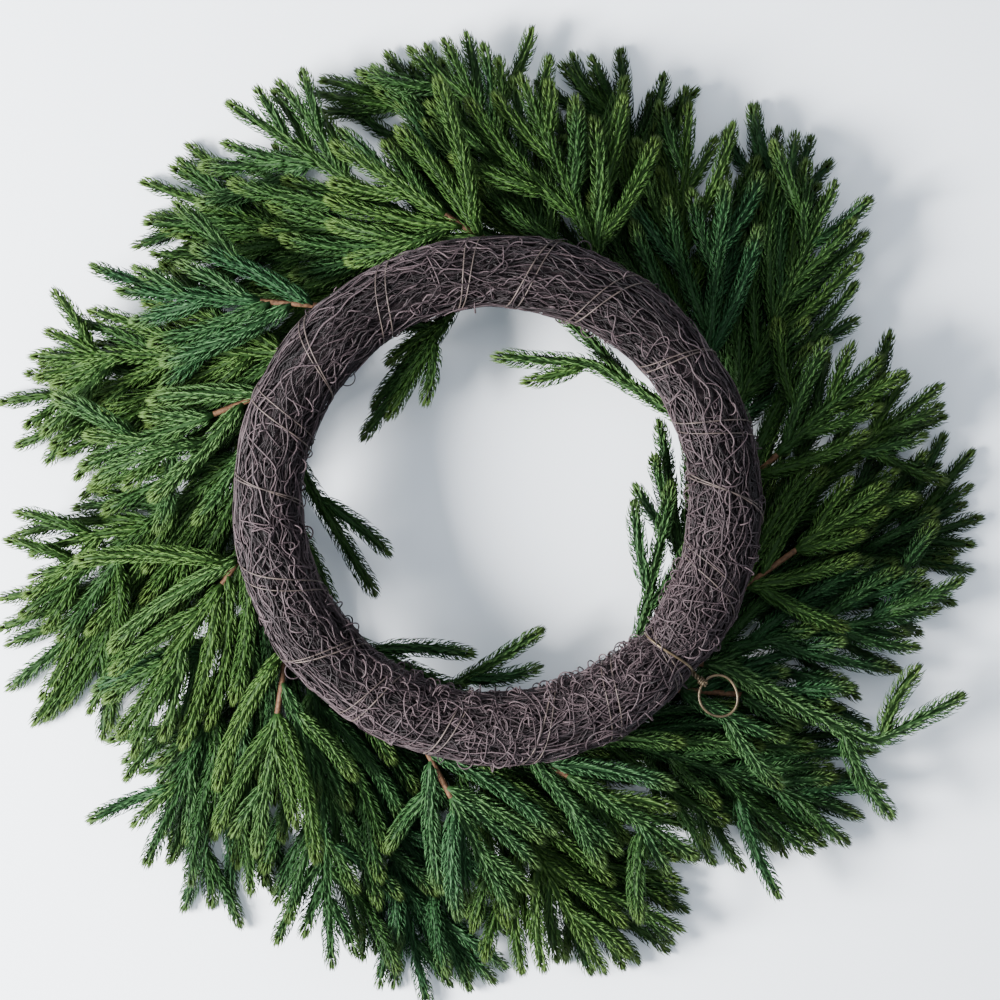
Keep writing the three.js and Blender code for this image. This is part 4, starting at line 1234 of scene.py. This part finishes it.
def loops(count, steps):
    """Tendrils that stand out in a loop, half of them near the inner edge. A point goes round a small
    circle that stands on the bundle, out by the cosine and sideways by the sine, and is carried along a
    third direction. Both ends dive in."""
    ring_angle = curl_places(count)
    inner_edge = rng.normal(np.pi - 0.3, 0.5, (count, 1))
    near_edge = rng.uniform(0, 1, (count, 1)) < 0.5
    round_angle = np.where(near_edge, inner_edge, anywhere(count))
    base = bundle_point(ring_angle, round_angle, bundle_radius(ring_angle) - 0.5)
    outer = unit(bundle_point(ring_angle, round_angle, bundle_radius(ring_angle) + 5.0) - base)
    sideways = unit(np.cross(outer, rng.normal(0, 1, (count, 1, 3))))
    third = np.cross(outer, sideways)
    turn = np.linspace(-LOOP_TURN, LOOP_TURN, steps)[:, None]
    size = rng.uniform(*LOOP_SIZE, (count, 1, 1))
    carried = third * turn * rng.uniform(-1.6, 1.6, (count, 1, 1))
    paths = base + size * (outer * np.cos(turn) * 1.1 + sideways * np.sin(turn)) + carried
    return paths, np.full((count, steps), LOOP_RADIUS), np.full((count, steps), -1.0)


vine_piece("vines_tangled", *tangle(CURLS, CURL_STEPS), VINE_SIDES, CURL_SHADE)
vine_piece("vines_looped", *loops(LOOPS, LOOP_STEPS), VINE_SIDES + 1, LOOP_SHADE)

# %% [markdown]
# ### The dark inside
#
# Light hardly reaches between the vines. A dark, lumpy core just below them fills the bundle, so that
# nothing shows through. It is a torus: one angle goes round the ring, and one round the bundle.

# %% Core
CORE_SINK = 5.4


def torus_core(around, sides):
    """A closed surface of two angles: the bundle's surface, sunk and roughened by a product of sines."""
    ring_angle, round_angle = np.meshgrid(
        np.arange(around) / around * 2 * np.pi, np.arange(sides) / sides * 2 * np.pi, indexing="ij"
    )
    rough = 0.5 * np.sin(31 * ring_angle + 2 * round_angle) * np.sin(5 * round_angle)
    points = bundle_point(ring_angle, round_angle, bundle_radius(ring_angle) - CORE_SINK + rough)
    i, j = np.meshgrid(np.arange(around), np.arange(sides), indexing="ij")
    after_i, after_j = (i + 1) % around, (j + 1) % sides
    corners = ((i, j), (after_i, j), (after_i, after_j), (i, after_j))
    quads = np.stack([a * sides + b for a, b in corners], axis=-1)
    return points.reshape(-1, 3), quads.reshape(-1, 4)


points, quads = torus_core(240, 36)
put_on(make_piece("vine_core", points, quads, [], core_material), "vine_ring")
print("core:", len(quads), "faces")

# %% [markdown]
# ## Two fuller tufts
#
# With the ring in place, two sprays still look thin. At the upper left of the hole the photograph shows a
# dense, dark tuft, and at the right a light one, so these sprays get a few more fingers on their right.

# %% More fingers for two inner sprays
TUFTS = {  # by spray: shade, hue, and each finger's fork, spread, steps and drop
    "spray_inner_02": (0.36, 0.35, [(15, 8, 11, 4), (12, 12, 11, 9), (10, 28, 11, 10)]),
    # Painted light: this tuft, on the right of the hole, is given a lighter shade, as it faces the lamp.
    "spray_inner_07": (0.62, 0.55, [(12, 22, 14, 0), (14, 9, 12, 9)]),
}


def dress_tuft(name, shade, hue, fingers):
    """Listed fingers of one spray, each at its stem's heights less a drop, as one piece."""
    stem = next(spray for spray in sprays if spray["name"] == name)["strands"][0]
    parts = []
    for fork, degrees, steps, drop in fingers:
        strand = finger_from(stem, fork, -1, np.radians(degrees), steps)
        place = np.arange(steps + 1)
        follow = np.minimum(fork + place, len(stem["z"]) - 1)
        strand["z"] = stem["z"][follow] - drop * smoothstep(place / FULL_RISE)
        parts += dress_finger(strand_line(strand, 0), shade, hue, NEEDLES_PER_MM["inner"], 1.0)
    return needle_piece(f"dressed_{name}_tuft", name, parts)


for name, tuft in TUFTS.items():
    print("tuft of", name, dress_tuft(name, *tuft), "triangles")

# %% [markdown]
# ## The wires
#
# The binding wire goes round the bundle in a long helix with 18 turns, and then once more in a thinner
# run that crosses the first. Another wire goes once round the bundle, is twisted shut and ends in the loop
# that the wreath hangs on.

# %% Wires
WIRE_SIDES = 8
BINDING_POINTS = 1441
BINDING_RUNS = ((1, 1.0, 0.5), (2, 2.2, 0.38))  # number, phase of its slack, and radius
OUT_BY_PHASE = 0.1  # which lays the second run over the first


def wire_piece(name, node, path, radius, material):
    """Round wire on a path."""
    points, quads, fans = tubes(path[None], radius, WIRE_SIDES)
    put_on(make_piece(name, points, quads, fans, material), node)
    print(name, len(quads) + len(fans), "faces")


ring_angle = np.linspace(0, 1, BINDING_POINTS) * 2 * np.pi
for number, phase, radius in BINDING_RUNS:
    slack = 0.05 * np.sin(5 * ring_angle + phase) + 0.02 * np.sin(13 * ring_angle)
    round_angle = BINDING_TURNS * ring_angle + np.pi / 2
    distance = bundle_radius(ring_angle + slack) + OUT_BY_PHASE * phase
    binding = bundle_point(ring_angle + slack, round_angle, distance)
    wire_piece(f"wire_binding_{number}", "binding_wire", binding, radius, binding_material)

# %% [markdown]
# ### The hanging wire
#
# This wire goes once round the bundle and sinks in between the vines. Its two ends are twisted together,
# one of them is wound round the twist, and the other makes the loop. Bent by hand, the loop isn't a
# perfect circle: its radius swells by a small cosine.

# %% Hanging wire
HANGER_SINK = 3.8  # how much closer the wire lies than the plain one
TWIST_TURNS, TWIST_RADIUS = 2.5, 0.95
KNOT_TURNS, KNOT_RADIUS, KNOT_LENGTH = 3.2, 2.1, 4.6
VISIBLE_WIRE_RADIUS = 0.85

tangent = np.array([-outwards[1], outwards[0], 0.0])
up = np.array([0.0, 0.0, 1.0])


def about_axis(ahead, turn, radius):
    """A helix about the line that runs outwards at the ring's height."""
    around_axis = tangent * (np.cos(turn) * radius)[:, None] + up * (np.sin(turn) * radius)[:, None]
    return outwards * ahead[:, None] + around_axis + up * RING_HEIGHT


wrap_turn = np.linspace(0, 2 * np.pi, 97)
wrap = bundle_point(HANGER_ANGLE + 0.012 * np.sin(2 * wrap_turn), wrap_turn, hanger_distance - HANGER_SINK)
share = np.linspace(0, 1, 60)
ahead = twist_start - HANGER_SINK + (HANGER_TWIST_LENGTH + HANGER_SINK + 1) * share
twists = [about_axis(ahead, share * TWIST_TURNS * 2 * np.pi + half, TWIST_RADIUS) for half in (0, np.pi)]
knot_turn = share * KNOT_TURNS * 2 * np.pi
knot = about_axis(twist_start + HANGER_TWIST_LENGTH - KNOT_LENGTH * (1 - share), knot_turn, KNOT_RADIUS)
loop_turn = np.linspace(-np.pi + 0.1, np.pi - 0.04, 97)
swell = HANGER_LOOP_RADIUS * (1.02 + 0.05 * np.cos(2 * loop_turn + 1) + 0.02 * np.cos(3 * loop_turn))
round_loop = outwards * np.cos(loop_turn)[:, None] + tangent * np.sin(loop_turn)[:, None]
loop = loop_centre + round_loop * swell[:, None]
loop[:, 2] += 0.8 * np.sin(loop_turn)
hanger_paths = {"wrap": wrap, "twist_1": twists[0], "twist_2": twists[1], "knot": knot, "loop": loop}
for label, path in hanger_paths.items():
    wire_piece(f"hanger_{label}", "hanging_wire", path, VISIBLE_WIRE_RADIUS, hanger_material)

# %% [markdown]
# ## Floor and light
#
# The wreath lies on a plain pale board. As in the photograph, soft light comes from one side: a bright lamp
# from the left, a weak one from above, and a pale blue sky from everywhere.

# %% Floor and light
FLOOR_TINTS = [(0.3, (0.87, 0.92, 0.98)), (0.7, (0.9, 0.95, 1.0))]
FLOOR_HALF = 3000.0
LAMPS = {  # place, size, power and colour
    "window": ((-1.95, -0.42, 1.25), 0.9, 355, (1.0, 0.99, 0.98)),
    "fill": ((0.3, 0.9, 2.4), 1.6, 16, (0.93, 0.96, 1.0)),
}
SKY_COLOUR, SKY_STRENGTH = (0.82, 0.9, 1.0, 1), 0.88

floor_material, tree, shader = new_material("floor", 0.7)
paint(tree, shader, ramp(tree, noise(tree, 1.2, 2.0), FLOOR_TINTS))
floor_corners = FLOOR_HALF * np.array([[-1, -1, 0], [1, -1, 0], [1, 1, 0], [-1, 1, 0]])
make_piece("floor", floor_corners, [[0, 1, 2, 3]], [], floor_material)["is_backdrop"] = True

for name, (place, size, power, colour) in LAMPS.items():
    data = bpy.data.lights.new(name, "AREA")
    data.size, data.energy, data.color = size, power, colour
    lamp = bpy.data.objects.new(name, data)
    lamp.location = place
    lamp.rotation_euler = (-lamp.location).to_track_quat("-Z", "Y").to_euler()  # to face the wreath
    bpy.context.scene.collection.objects.link(lamp)

world = bpy.data.worlds.new("sky")
bpy.context.scene.world = world
world.use_nodes = True
sky = world.node_tree.nodes["Background"]
sky.inputs["Color"].default_value = SKY_COLOUR
sky.inputs["Strength"].default_value = SKY_STRENGTH
print("lamps:", len(bpy.data.lights))

# %% [markdown]
# ## Sizes, and the end
#
# The boxes of the imported model and of the dressed wreath are printed. The dressed
# wreath may stand only a little proud of the imported model.

# %% Compare the sizes and finish
boxes = {"cad": cad_box, "visual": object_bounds()}
boxes = {key: [[float(v) for v in corner] for corner in box] for key, box in boxes.items()}
print(boxes)
